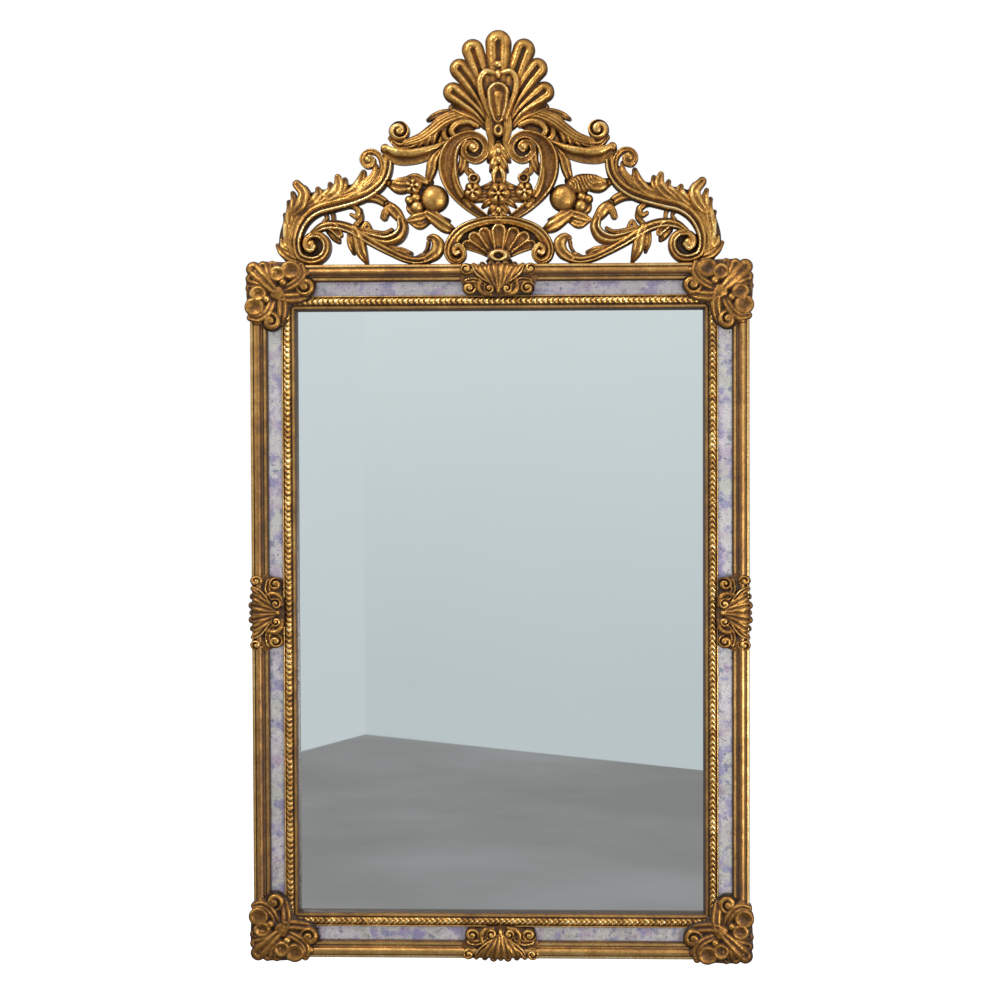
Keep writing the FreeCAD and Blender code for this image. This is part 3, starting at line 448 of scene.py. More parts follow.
WING = [
    ("round", 1, [(44, 256, 22, 19), (80, 246, 34, 19), (112, 236, 34, 19), (140, 222, 26, 19),
        (168, 212, 24, 19)]),
    ("reeds", 6, [(24, 262, 10, 26), (48, 270, 14, 28), (78, 267, 18, 29), (102, 256, 20, 29),
        (120, 242, 20, 28), (140, 228, 18, 28), (166, 219, 14, 28)]),
    ("leaf", 5, [(70, 274, 8, 25), (96, 273, 13, 26), (116, 267, 12, 26), (128, 261, 7, 24)]),
    ("lip_right", 6, [(140, 226, 12, 25), (160, 216, 15, 26), (182, 216, 14, 26), (196, 228, 9, 25)]),
    ("curl", 7, 180, 241, 19, 18, 26, 1, 0.6),
    ("round", 5, [(38, 250, 9, 25), (56, 257, 9, 27), (76, 253, 11, 28), (85, 241, 10, 28),
        (80, 231, 7, 27)]),
    ("round", 5, [(64, 264, 6, 24), (86, 258, 9, 25), (98, 244, 10, 25), (97, 229, 10, 25),
        (84, 221, 8, 25)]),
    ("leaf", 5, [(109, 248, 9, 27), (117, 231, 10, 28), (120, 215, 5, 28)]),
    ("leaf", 5, [(117, 245, 10, 27), (127, 228, 11, 29), (133, 211, 5, 29)]),
    ("leaf", 5, [(126, 240, 10, 27), (140, 222, 11, 29), (151, 209, 6, 29)]),
    ("leaf", 5, [(137, 233, 9, 27), (151, 219, 10, 28), (162, 211, 5, 28)]),
    ("round", 3, [(103, 228, 9, 22), (108, 214, 10, 22)]),
    ("ledge", 8, [(98, 216, 11, 24), (112, 208, 16, 25), (134, 199, 23, 26), (160, 194, 26, 26),
        (186, 196, 27, 26), (205, 207, 17, 26)]),
    ("dome", 4, 205, 210, 8, 8, 27),
]
ACANTHUS = [
    ("round", 1, [(206, 168, 26, 19), (224, 146, 36, 19), (252, 134, 34, 19), (290, 126, 32, 18),
        (330, 118, 34, 18), (360, 104, 34, 18), (378, 72, 32, 18), (384, 40, 32, 18), (376, 14, 28, 18)]),
    ("lip_right", 7, [(202, 206, 14, 28), (201, 186, 20, 28), (205, 164, 22, 28), (216, 146, 22, 28),
        (236, 130, 24, 28), (262, 120, 27, 28), (296, 111, 28, 28), (328, 102, 26, 29), (350, 86, 25, 29),
        (364, 62, 22, 29), (368, 38, 18, 29), (362, 16, 18, 29), (344, 8, 17, 29), (325, 11, 16, 29),
        (313, 25, 15, 29), (313, 43, 14, 30), (325, 55, 12, 30), (340, 55, 10, 31), (350, 45, 9, 32),
        (350, 34, 8, 33), (342, 28, 8, 34), (335, 34, 7, 35)]),
    ("dome", 2, 338, 33, 26, 26, 17), ("dome", 5, 341, 38, 8, 8, 28),
    ("lip", 6, [(226, 146, 9, 29), (214, 160, 10, 29), (210, 178, 11, 29), (214, 194, 11, 29),
        (226, 204, 10, 29), (240, 202, 9, 29), (247, 190, 9, 30), (240, 178, 8, 31), (229, 180, 7, 32),
        (226, 190, 7, 33), (233, 195, 6, 34)]),
    ("dome", 5, 236, 190, 8, 8, 27),
    ("reeds", 6, [(222, 180, 7, 27), (226, 162, 12, 28), (240, 146, 15, 29), (262, 131, 15, 29),
        (292, 121, 12, 29)]),
    ("leaf", 6, [(288, 123, 12, 27), (264, 131, 20, 28), (250, 148, 20, 28), (245, 168, 10, 26)]),
    ("leaf", 6, [(306, 118, 12, 27), (290, 128, 17, 28), (281, 142, 15, 28), (279, 155, 9, 26)]),
    ("leaf", 6, [(318, 116, 12, 28), (300, 126, 20, 29), (289, 142, 20, 29), (292, 160, 11, 27)]),
    ("leaf", 6, [(332, 112, 12, 28), (314, 124, 17, 28), (304, 136, 14, 28), (306, 147, 9, 26)]),
    ("leaf", 6, [(346, 106, 12, 28), (332, 118, 18, 29), (325, 129, 15, 28), (328, 138, 10, 27)]),
    ("leaf", 5, [(366, 98, 10, 28), (352, 118, 14, 29), (347, 131, 11, 28), (351, 141, 8, 26)]),
    ("leaf", 7, [(372, 92, 14, 29), (357, 110, 22, 30), (353, 130, 20, 30), (366, 147, 16, 28)]),
    ("leaf", 5, [(378, 80, 12, 28), (371, 104, 16, 29), (371, 120, 12, 28), (374, 131, 9, 26)]),
    ("leaf", 5, [(382, 62, 12, 28), (378, 88, 16, 29), (378, 104, 13, 28), (381, 115, 9, 26)]),
    ("leaf", 5, [(383, 40, 12, 28), (383, 66, 15, 29), (384, 80, 12, 28), (388, 92, 9, 26)]),
    ("reeds", 6, [(336, 112, 8, 30), (358, 96, 10, 30), (374, 68, 13, 30), (381, 42, 14, 29),
        (374, 18, 14, 28), (358, 8, 8, 27)]),
    ("leaf", 6, [(358, 7, 8, 27), (376, 12, 15, 28), (392, 24, 15, 28), (402, 37, 8, 27)]),
    ("leaf", 4, [(376, 26, 8, 29), (388, 34, 12, 30), (394, 46, 6, 29)]),
    ("round", 4, [(334, 97, 9, 23), (319, 97, 10, 24), (312, 86, 7, 25), (318, 79, 6, 25)]),
    ("round", 4, [(314, 104, 9, 23), (303, 96, 9, 24), (300, 84, 8, 24), (303, 72, 9, 23)]),
    ("round", 5, [(282, 108, 11, 25), (264, 107, 12, 27), (254, 97, 11, 28), (258, 87, 9, 28),
        (267, 91, 7, 28)]),
    ("round", 4, [(252, 100, 9, 24), (250, 84, 10, 24), (259, 73, 11, 23)]),
    ("leaf", 5, [(246, 120, 12, 26), (226, 122, 18, 26), (206, 112, 16, 26), (196, 98, 10, 25)]),
]
VINE = [
    ("lip", 7, [(338, 60, 8, 27), (320, 70, 16, 28), (298, 73, 18, 28), (272, 67, 19, 28),
        (248, 54, 20, 28), (222, 38, 18, 28), (196, 24, 16, 28), (170, 12, 15, 28), (146, 8, 16, 28),
        (124, 14, 17, 28), (113, 24, 17, 28)]),
    ("leaf", 6, [(130, 10, 16, 27), (114, 22, 22, 28), (110, 38, 22, 29), (119, 49, 14, 29),
        (127, 48, 9, 28)]),
    ("round", 3, [(128, 40, 8, 22), (130, 30, 7, 22), (136, 20, 7, 22)]),
    ("lip_right", 7, [(256, 60, 10, 27), (230, 50, 15, 28), (204, 44, 20, 28), (184, 50, 24, 28),
        (174, 66, 20, 28), (177, 82, 16, 28)]),
    ("lip", 5, [(250, 66, 7, 26), (226, 60, 8, 28), (206, 58, 8, 28), (194, 64, 7, 27)]),
    ("leaf", 6, [(176, 80, 14, 25), (188, 96, 22, 27), (202, 110, 14, 27)]),
    ("reeds", 5, [(196, 104, 10, 28), (204, 96, 14, 29), (208, 86, 13, 28)]),
    ("leaf", 5, [(174, 78, 10, 27), (180, 92, 12, 29), (192, 106, 7, 29)]),
    ("leaf", 7, [(262, 66, 14, 27), (254, 46, 20, 28), (249, 24, 20, 28), (240, 4, 7, 27)]),
    ("leaf", 5, [(270, 62, 9, 26), (269, 40, 12, 27), (264, 22, 7, 26)]),
    ("hollow", 6, [(316, 74, 10, 27), (300, 68, 16, 28), (289, 56, 12, 29)]),
    ("round", 5, [(306, 62, 16, 20), (296, 50, 16, 21), (291, 43, 8, 21)]),
    ("leaf", 5, [(196, 31, 7, 26), (176, 27, 10, 27), (160, 21, 9, 27)]),
    ("leaf", 4, [(128, 12, 8, 25), (138, 17, 9, 26), (148, 15, 5, 25)]),
    ("round", 4, [(250, 60, 10, 25), (240, 76, 8, 24), (230, 60, 6, 24)]),
]
FRUIT_BODY = [
    ("round", 2, [(126, 150, 16, 17), (140, 130, 34, 18), (146, 108, 34, 18), (140, 86, 26, 17)]),
    ("leaf", 6, [(104, 208, 8, 23), (116, 190, 17, 24), (122, 170, 19, 25), (128, 152, 12, 25)]),
    ("leaf", 4, [(118, 196, 7, 26), (126, 180, 9, 27), (126, 164, 6, 26)]),
    ("leaf", 6, [(160, 142, 18, 23), (180, 140, 24, 24), (197, 147, 15, 24)]),
    ("reeds", 4, [(166, 154, 8, 27), (180, 152, 10, 28), (190, 148, 7, 27)]),
    ("dome", 12, 116, 119, 25, 25, 21), ("dome", 6, 148, 104, 11, 11, 26), ("dome", 5, 162, 117, 8, 8, 24),
    ("dome", 5, 150, 121, 9, 8, 24),
    ("leaf", 6, [(164, 80, 8, 25), (148, 85, 18, 26), (128, 92, 13, 26)]),
    ("leaf", 5, [(160, 78, 9, 24), (144, 71, 14, 25), (127, 79, 9, 25)]),
    ("leaf", 6, [(130, 92, 14, 24), (112, 79, 22, 25), (96, 68, 22, 26), (80, 61, 9, 25)]),
    ("leaf", 4, [(118, 96, 8, 26), (104, 84, 10, 28), (90, 80, 6, 27)]),
    ("leaf", 5, [(150, 92, 12, 23), (160, 100, 14, 24), (164, 110, 7, 24)]),
]
LONG_FRUIT = [
    ("ribs", 9, [(132, 142, 18, 25), (145, 144, 32, 25), (160, 147, 29, 25), (174, 153, 14, 25)]),
]
BLOSSOM = [
    ("flower", 8, 156, 142, 16, 15, 26, 5, 0.8),
    ("leaf", 5, [(132, 150, 10, 24), (150, 158, 14, 25), (170, 156, 7, 25)]),
]

# ---- the ornaments over the mouldings -----------------------------------------------------------
# A corner in (a, b), both inward from the outer corner; each entry is also carved with a and b exchanged
CORNER = [
    ("round", 1, [(30, 30, 56, 45), (54, 44, 52, 47), (80, 46, 42, 47), (100, 42, 32, 46)]),
    ("round", 1, [(30, 14, 40, 45), (60, 14, 38, 46), (84, 14, 30, 46), (101, 14, 18, 45)]),
    ("leaf", 5, [(40, 36, 12, 47), (30, 18, 21, 49), (25, 3, 20, 48)]),
    ("leaf", 5, [(46, 34, 10, 47), (44, 14, 17, 48), (42, 0, 15, 47)]),
    ("saucer", 5, 52, 17, 15, 14, 49), ("saucer", 5, 76, 10, 18, 17, 48.5),
    ("leaf", 4, [(95, 2, 13, 48), (97, 16, 16, 49), (90, 29, 17, 50), (77, 38, 16, 50), (58, 46, 14, 49)]),
    ("leaf", 5, [(46, 54, 16, 48), (64, 60, 20, 48), (84, 60, 21, 48), (104, 56, 16, 47)]),
    ("curl", 5, 102, 39, 18, 18, 48, 1, 0.4), ("dome", 4, 103, 14, 9, 8, 47), ("dome", 4, 62, 32, 7, 7, 51),
]
# What lies on the corner's own middle
CORNER_MIDDLE = [
    ("leaf", 5, [(46, 46, 16, 49), (26, 26, 26, 50), (8, 8, 28, 49)]),
    ("round", 3, [(58, 58, 24, 47), (72, 72, 14, 46)]),
    ("dome", 4, 52, 52, 13, 13, 50),
]
# A cartouche in (along, u), drawn on one side of its middle
CARTOUCHE = [
    ("round", 1, [(0, 30, 60, 45), (26, 32, 50, 46), (46, 34, 36, 46), (56, 22, 28, 46)]),
    ("leaf", 5, [(4, 40, 10, 47), (9, 22, 17, 48), (12, 8, 19, 48), (13, 1, 14, 47)]),
    ("leaf", 5, [(9, 38, 10, 46), (21, 20, 17, 48), (28, 8, 17, 48), (29, 2, 12, 46)]),
    ("lip_right", 5, [(12, 34, 10, 47), (26, 24, 13, 49), (37, 14, 14, 49), (44, 3, 9, 48)]),
    ("lip", 5, [(28, 38, 12, 46), (42, 31, 14, 47), (56, 32, 12, 47)]),
    ("round", 5, [(32, 28, 7, 49), (35, 42, 8, 49), (28, 53, 8, 49), (14, 56, 7, 47)]),
    ("curl", 5, 52, 44, 13, 12, 47, 1, 2.2), ("curl", 5, 16, 45, 10, 10, 47, -1, 0.9),
    ("curl", 5, 58, 9, 11, 10, 48, 1, 4.0),
]
CARTOUCHE_MIDDLE = [
    ("leaf", 5, [(0, 42, 10, 48), (0, 24, 13, 49), (0, 8, 14, 49), (0, 1, 11, 48)]),
    ("dome", 3, 0, 48, 4, 5, 48),
]


def frame_depth(u):
    """How far forward an ornament's back lies at u: on the mouldings, or behind them outside the frame."""
    over, forward = np.array(COVERED).T
    return np.where(u < 0, ORNAMENT_BACK, np.interp(u, over, forward) + ORNAMENT_GAP)


# Each piece of the crest: its box (x from, x to, z from, z to), what is drawn once, what on both sides
CREST_PLANS = {"palmette": ((-104, 104, 198, 426), PALMETTE_MIDDLE, PALMETTE_SIDE),
               "festoon": ((-76, 76, 74, 222), FESTOON_MIDDLE, FESTOON_SIDE),
               "shell": ((-112, 112, -2, 92), SHELL_MIDDLE, SHELL_SIDE),
               "scroll": ((8, 116, 78, 244), SCROLL, []),
               "wing": ((14, 222, 176, 288), WING, []),
               "acanthus": ((180, 408, -2, 216), ACANTHUS, []),
               "vine": ((96, 348, -2, 120), VINE, []),
               "fruit": ((70, 214, 50, 216), FRUIT_BODY + LONG_FRUIT, []),
               "blossom": ((70, 214, 50, 216), FRUIT_BODY + BLOSSOM, [])}
# The pieces that lie over a piece of the crest
OVER = {"festoon": ("palmette", "shell"), "scroll": ("palmette", "shell", "festoon"),
        "fruit": ("scroll", "shell"), "blossom": ("scroll", "shell"),
        "wing": ("palmette", "scroll", "fruit"), "vine": ("shell", "fruit"),
        "acanthus": ("wing", "vine", "fruit")}


def shared_points(own, other):
    """Where the other's grid line meets this one's points, and which of the other's points those are."""
    index = np.searchsorted(own, other - SAME_PLACE)
    keep = index < len(own)
    keep &= np.abs(own[np.minimum(index, len(own) - 1)] - other) < SAME_PLACE
    return index[keep], keep


def cut_back(relief, over):
    """Keeps a piece out of the one that lies over it, but for a narrow overlap."""
    columns, keep_x = shared_points(relief.x, over.x)
    rows, keep_z = shared_points(relief.z, over.z)
    target = np.ix_(rows, columns)
    relief.inside[target] = np.minimum(relief.inside[target], OVERLAP - over.inside[np.ix_(keep_z, keep_x)])


def crest_reliefs():
    """The crest's pieces on the right and in the middle, each cut back where another lies over it."""
    reliefs = {}
    for name, (box, drawn_once, drawn_twice) in CREST_PLANS.items():
        relief = Relief(*box)
        relief.draw(drawn_once)
        relief.draw(drawn_twice, mirror=True)
        relief.inside = np.minimum(relief.inside, relief.z[:, None] - CREST_FOOT_GAP)
        reliefs[name] = relief
    for lower, uppers in OVER.items():
        for upper in uppers:
            cut_back(reliefs[lower], reliefs[upper])
    return reliefs


def ornament_relief(spans, middle, both, where, other):
    """A corner's or cartouche's relief, laid on the mouldings.

    where gives the drawing place of (a, b), and other the twin of (a, b) on the ornament's other half."""
    ends = [where(a, b) for a in spans[0] for b in spans[1]]
    xs, zs = [round(p[0]) for p in ends], [round(p[1]) for p in ends]
    relief = Relief(min(xs), max(xs), min(zs), max(zs))

    def laid(entry, twin):
        """A stroke or boss of the plan at its place in the drawing, or at its twin's."""
        shape, rise, *drawn = entry
        spot = (lambda a, b: where(*other(a, b))) if twin else where
        if isinstance(drawn[0], list):
            points = [(*spot(p[0], p[1]), *p[2:]) for p in drawn[0]]
            return shape, rise, points[::-1] if twin and shape in ONE_SIDED else points
        if twin and shape == "curl":
            drawn[5] = -drawn[5]
        return shape, rise, *spot(drawn[0], drawn[1]), *drawn[2:]

    relief.draw([laid(entry, False) for entry in both + middle])
    relief.draw([laid(entry, True) for entry in both])
    gx, gz = np.meshgrid(relief.x, relief.z)
    from_edge = np.minimum(FRAME_WIDTH / 2 - np.abs(gx), FRAME_HEIGHT / 2 - np.abs(gz + FRAME_HEIGHT / 2))
    relief.inside = np.minimum(relief.inside, from_edge + ORNAMENT_REACH)
    relief.top = np.minimum(relief.top, ORNAMENT_FRONT)
    relief.under = frame_depth(from_edge)
    return relief


# ---- finishes ----------------------------------------------------------------------------------
class Nodes:
    """A node tree under construction: its nodes are added by name and joined by plain calls."""

    def __init__(self, tree):
        self.tree = tree

    def node(self, kind, settings=None, **inputs):
        """Adds a node; an input is given by its name, as a value or as another node's output."""
        made = self.tree.nodes.new(kind)
        for key, value in (settings or {}).items():
            setattr(made, key, value)
        for key, value in inputs.items():
            self.feed(made.inputs[key.replace("_", " ")], value)
        return made

    def feed(self, socket, value):
        """Joins a socket to an output or sets it; a colour is given as red, green and blue."""
        if isinstance(value, bpy.types.NodeSocket):
            self.tree.links.new(value, socket)
        elif socket.type == "RGBA":
            socket.default_value = (*value, 1)
        else:
            socket.default_value = value

    def join(self, kind, *values, settings=None):
        """Adds a node whose inputs are fed in order, and gives its first output."""
        made = self.node(kind, settings)
        for socket, value in zip(made.inputs, values):
            self.feed(socket, value)
        return made.outputs[0]

    def work_out(self, operation, *values):
        return self.join("ShaderNodeMath", *values, settings={"operation": operation})

    def spread(self, value, low, high, to_low=0.0, to_high=1.0):
        """Maps the stretch from low to high onto that from to_low to to_high, and holds it at its ends."""
        made = self.node("ShaderNodeMapRange", Value=value, From_Min=low, From_Max=high, To_Min=to_low,
                         To_Max=to_high)
        return made.outputs["Result"]


class Finish(Nodes):
    """A material under construction."""

    def __init__(self, name):
        self.material = bpy.data.materials.new(name)
        self.material.use_nodes = True
        super().__init__(self.material.node_tree)
        self.spot = self.node("ShaderNodeTexCoord").outputs["Object"]

    def stretched(self, scale):
        """The spot on the piece, with the pattern drawn out by a factor along each axis."""
        return self.node("ShaderNodeMapping", Vector=self.spot, Scale=scale).outputs[0]

    def height(self):
        """How high the spot lies in the scene, in metres."""
        return self.node("ShaderNodeSeparateXYZ", Vector=self.spot).outputs["Z"]

    def raised(self):
        """How raised the carving is at the spot, as its mesh says."""
        return self.node("ShaderNodeAttribute", {"attribute_name": "raised"}).outputs["Fac"]

    def noise(self, scale, detail=3.0, roughness=0.55, spot=None):
        made = self.node("ShaderNodeTexNoise", Vector=spot or self.spot, Scale=scale, Detail=detail,
                         Roughness=roughness)
        return made.outputs["Fac"]

    def sway(self, noise, amount):
        """Noise as a change of up to the amount either way."""
        return self.spread(noise, 0.3, 0.7, -amount, amount)

    def ramp(self, value, stops):
        """Colours, or plain numbers, between the given stops."""
        made = self.node("ShaderNodeValToRGB", Fac=value)
        elements = made.color_ramp.elements
        while len(elements) < len(stops):
            elements.new(0.5)
        for element, (position, colour) in zip(elements, stops):
            element.position = position
            element.color = (*colour, 1) if isinstance(colour, tuple) else (colour, colour, colour, 1)
        return made.outputs["Color"]

    def mix(self, share, first, second):
        """Two colours mixed, with this share of the second."""
        made = self.node("ShaderNodeMix", {"data_type": "RGBA"})
        colours = [socket for socket in made.inputs if socket.type == "RGBA"]
        for socket, value in zip([made.inputs["Factor"]] + colours, (share, first, second)):
            self.feed(socket, value)
        return made.outputs[2]

    def dress(self, colour, roughness, metallic=0.0, bump=None, height=0.0003, strength=0.5):
        """Gives the material its looks, with a fine relief where there is a bump."""
        shader = self.tree.nodes["Principled BSDF"].inputs
        for name, value in (("Base Color", colour), ("Roughness", roughness), ("Metallic", metallic)):
            self.feed(shader[name], value)
        if bump is not None:
            lifted = self.node("ShaderNodeBump", Height=bump, Distance=height, Strength=strength)
            self.feed(shader["Normal"], lifted.outputs[0])
        return self.material

    def show(self, shader):
        """Gives the material another shader's looks."""
        self.feed(self.tree.nodes["Material Output"].inputs["Surface"], shader)
        return self.material


# Gold leaf over dark bole: colours from a recess that was never rubbed to a rubbed edge; the darkest stops
# are also painted shade in the recesses, and the brightest a painted highlight on the ridges
GILDING_AND_PAINTED_SHADE = [(0.0, (0.016, 0.007, 0.003)), (0.22, (0.065, 0.026, 0.007)), (0.40, (0.24, 0.105, 0.024)),
           (0.55, (0.47, 0.235, 0.055)), (0.72, (0.72, 0.43, 0.13)), (0.88, (0.90, 0.66, 0.29)),
           (1.0, (0.95, 0.80, 0.50))]
THIN_GOLD = (0.52, 0.38, 0.28)
# Heights in the scene between which a finish changes, m
CREST_FOOT = (0.29, 0.33)
# the bottom rail is drawn paler between these heights, as painted light
BOTTOM_RAIL_LIT_SPAN = (-0.932, -0.918)
TOP_STRIPS = (0.235, 0.25)
# How raised or rubbed each part of the mouldings' section is: (u in mm, level); the dark grooves and the
# dark sight edge are painted shade, and the bright fillets a painted highlight as well as rubbing
MOULDING_SHADE_AND_WEAR = [(0, 0.50), (1.5, 0.62), (3, 0.82), (4.6, 0.80), (5.4, 0.30), (6.4, 0.26), (8, 0.62),
                   (12, 0.60), (16, 0.46), (19.5, 0.34), (21.3, 0.42), (22.6, 0.12), (23.4, 0.20),
                   (24.2, 0.62), (27.4, 0.66), (28.6, 0.34), (30.8, 0.14), (56, 0.45), (57.2, 0.86),
                   (58.4, 0.5), (72.6, 0.5), (73.8, 0.14), (75.2, 0.62), (78, 0.60), (79.6, 0.22),
                   (82.8, 0.0)]


def gilded(name, depth, paleness=0.0):
    """Water gilding worn on its high points, with painted shade in its low points and a painted highlight
    on its high ones; depth makes the 0 to 1 value of how raised a point is.
    """
    finish = Finish(name)
    broad, middle, fine = finish.noise(7, 4), finish.noise(38, 4, 0.6), finish.noise(210, 3, 0.6)
    level = depth(finish)
    for wear, amount in ((broad, 0.07), (middle, 0.10), (fine, 0.07)):
        level = finish.work_out("ADD", level, finish.sway(wear, amount))
    colour = finish.mix(paleness, finish.ramp(level, GILDING_AND_PAINTED_SHADE), THIN_GOLD)
    metal = finish.spread(level, 0.1, 0.45, 0.3, 0.9)
    rough = finish.work_out("ADD", finish.spread(level, 0.2, 0.8, 0.50, 0.27), finish.sway(fine, 0.06))
    grain = finish.work_out("ADD", middle, fine)
    return finish.dress(colour, rough, metal, bump=grain, height=0.0006, strength=0.35)


def carving_depth(finish):
    """From the carving itself, with painted shade in its recesses and a painted highlight on its ridges;
    the frame's ornaments are a little browner than the crest.
    """
    browned = finish.spread(finish.height(), *CREST_FOOT, -0.09, -0.01)
    # how raised a point is sets its painted shade or highlight, over the bole and the rubbing
    return finish.work_out("ADD", finish.spread(finish.raised(), -0.90, 0.90, 0.05, 0.90), browned)


def inward(finish):
    """Distance inward from the frame's outer edge, 0 to 1 over the mouldings' width."""
    spot = finish.node("ShaderNodeSeparateXYZ", Vector=finish.spot).outputs
    from_middle = finish.work_out("SUBTRACT", spot["Z"], (HANGER_DROP - FRAME_HEIGHT / 2) / 1000)
    side = finish.work_out("SUBTRACT", FRAME_WIDTH / 2000, finish.work_out("ABSOLUTE", spot["X"]))
    end = finish.work_out("SUBTRACT", FRAME_HEIGHT / 2000, finish.work_out("ABSOLUTE", from_middle))
    return finish.spread(finish.work_out("MINIMUM", side, end), 0.0, MOULDINGS_WIDTH / 1000)


def moulding_depth(finish):
    """From the section's own levels, which paint shade in the grooves and highlights on the fillets; the
    bottom rail gets painted light and is drawn paler.
    """
    made = finish.node("ShaderNodeFloatCurve", Value=inward(finish))
    curve = made.mapping.curves[0]
    while len(curve.points) < len(MOULDING_SHADE_AND_WEAR):
        curve.points.new(0.5, 0.5)
    for point, (u, level) in zip(curve.points, MOULDING_SHADE_AND_WEAR):
        point.location = (u / MOULDINGS_WIDTH, level)
        point.handle_type = "VECTOR"
    made.mapping.update()
    painted_light_on_bottom_rail = finish.spread(finish.height(), *BOTTOM_RAIL_LIT_SPAN, 0.09, -0.07)
    return finish.work_out("ADD", made.outputs[0], painted_light_on_bottom_rail)


def leaf_band_depth(finish):
    """From the leaves themselves, with painted shade in their hollows and a painted highlight on their
    crowns, rubbed unevenly.
    """
    rubbed = finish.spread(finish.noise(75, 2, 0.6), 0.35, 0.65, -0.16, 0.12)
    return finish.work_out("ADD", finish.spread(finish.raised(), 0.0, 1.0, 0.20, 0.94), rubbed)


def old_mirror():
    """Silvering that has bloomed: pale lilac grey, violet clouds and black specks, darker along the top."""
    finish = Finish("old_mirror_with_bloomed_silvering")
    cloud, patch, blush = finish.noise(27, 5, 0.62), finish.noise(52, 5, 0.66), finish.noise(34, 4, 0.6)
    fine, streak = finish.noise(190, 3, 0.7), finish.noise(9, 2)
    colour = finish.ramp(streak, [(0.35, (0.64, 0.62, 0.56)), (0.65, (0.74, 0.67, 0.69))])
    for share, overlay_colour in ((finish.spread(blush, 0.52, 0.66, 0.0, 0.7), (0.52, 0.36, 0.50)),
                         (finish.ramp(cloud, [(0.50, 0.0), (0.59, 0.75), (0.8, 0.95)]), (0.25, 0.23, 0.43)),
                         (finish.ramp(patch, [(0.54, 0.0), (0.64, 0.75)]), (0.13, 0.17, 0.27)),
                         # darker along the top strips
                         (finish.spread(finish.height(), *TOP_STRIPS, 0.0, 0.4), (0.28, 0.23, 0.29)),
                         (finish.ramp(fine, [(0.62, 0.0), (0.69, 1.0)]), (0.06, 0.06, 0.09))):
        colour = finish.mix(share, colour, overlay_colour)
    rough = finish.spread(finish.work_out("ADD", cloud, patch), 0.7, 1.3, 0.12, 0.42)
    metal = finish.spread(finish.work_out("ADD", cloud, fine), 0.8, 1.3, 0.75, 0.2)
    return finish.dress(colour, rough, metal, bump=patch, height=0.0004, strength=0.25)


def clear_mirror():
    """Plate glass silvered on its back, with a breath of haze."""
    finish = Finish("silvered_plate_glass")
    haze = finish.noise(2.2, 3)
    tint = finish.ramp(haze, [(0.3, (0.955, 0.975, 0.968)), (0.7, (0.93, 0.955, 0.952))])
    return finish.dress(tint, finish.spread(haze, 0.3, 0.7, 0.006, 0.016), 1.0)


def bare_wood(name, along, light=(0.36, 0.23, 0.12), dark=(0.20, 0.115, 0.055)):
    """Old planed softwood with its grain along an axis."""
    finish = Finish(name)
    scale = [3.0 if axis == along else 55.0 for axis in "XYZ"]
    grain = finish.noise(1.0, 5, 0.6, finish.stretched(scale))
    pores = finish.noise(6.0, 3, 0.6, finish.stretched(scale))
    colour = finish.ramp(grain, [(0.32, dark), (0.62, light), (0.8, tuple(c * 1.18 for c in light))])
    stained = finish.spread(finish.noise(6, 3), 0.35, 0.75, 0.0, 0.45)
    colour = finish.mix(stained, colour, tuple(c * 0.5 for c in dark))
    return finish.dress(colour, finish.spread(pores, 0.3, 0.7, 0.62, 0.82), bump=pores, height=0.0004)


def fibre_board():
    finish = Finish("brown_backing_board")
    broad, fibre = finish.noise(5, 3), finish.noise(420, 3, 0.7)
    colour = finish.ramp(broad, [(0.3, (0.20, 0.125, 0.065)), (0.7, (0.27, 0.18, 0.10))])
    colour = finish.mix(finish.spread(fibre, 0.4, 0.75, 0.0, 0.5), colour, (0.12, 0.07, 0.035))
    return finish.dress(colour, 0.82, bump=fibre, height=0.0003)


def cork():
    finish = Finish("cork_blocks")
    cells = finish.node("ShaderNodeTexVoronoi", Vector=finish.spot, Scale=420.0).outputs["Distance"]
    colour = finish.ramp(cells, [(0.1, (0.42, 0.26, 0.13)), (0.6, (0.26, 0.14, 0.065))])
    return finish.dress(colour, 0.88, bump=cells, height=0.0004)


def felt():
    finish = Finish("grey_wool_felt")
    fibre = finish.noise(900, 4, 0.7)
    colour = finish.ramp(fibre, [(0.35, (0.09, 0.09, 0.085)), (0.7, (0.17, 0.165, 0.155))])
    return finish.dress(colour, 0.95, bump=fibre, height=0.0005)


def metal_finish(name, bright, dull, roughness):
    finish = Finish(name)
    tarnish, scratch = finish.noise(80, 5, 0.65), finish.noise(1.0, 3, 0.6, finish.stretched((60, 60, 900)))
    colour = finish.mix(finish.spread(tarnish, 0.42, 0.66), bright, dull)
    rough = finish.spread(tarnish, 0.35, 0.7, roughness, roughness + 0.22)
    return finish.dress(colour, rough, 1.0, bump=scratch, height=0.0001, strength=0.3)


# ---- leaf bands: one pair of leaves laid along each side by Geometry Nodes ---------------------
LEAF_PITCH = 9.6
LEAF_ROWS, LEAF_STEPS = 9, 8           # points across and along a pair of leaves
LEAF_HEIGHT, LEAF_LEAST = 5.8, 0.25
BAND_SPARE = 1.0                       # how much longer a run is than the way between the corner leaves
CORNER_LEAF_STEPS = 10
CORNER_LEAF_HEIGHT, CORNER_LEAF_LIFT = 5.6, 0.3
LEAF_MIDDLE = (LEAF_FROM + LEAF_TO) / 2


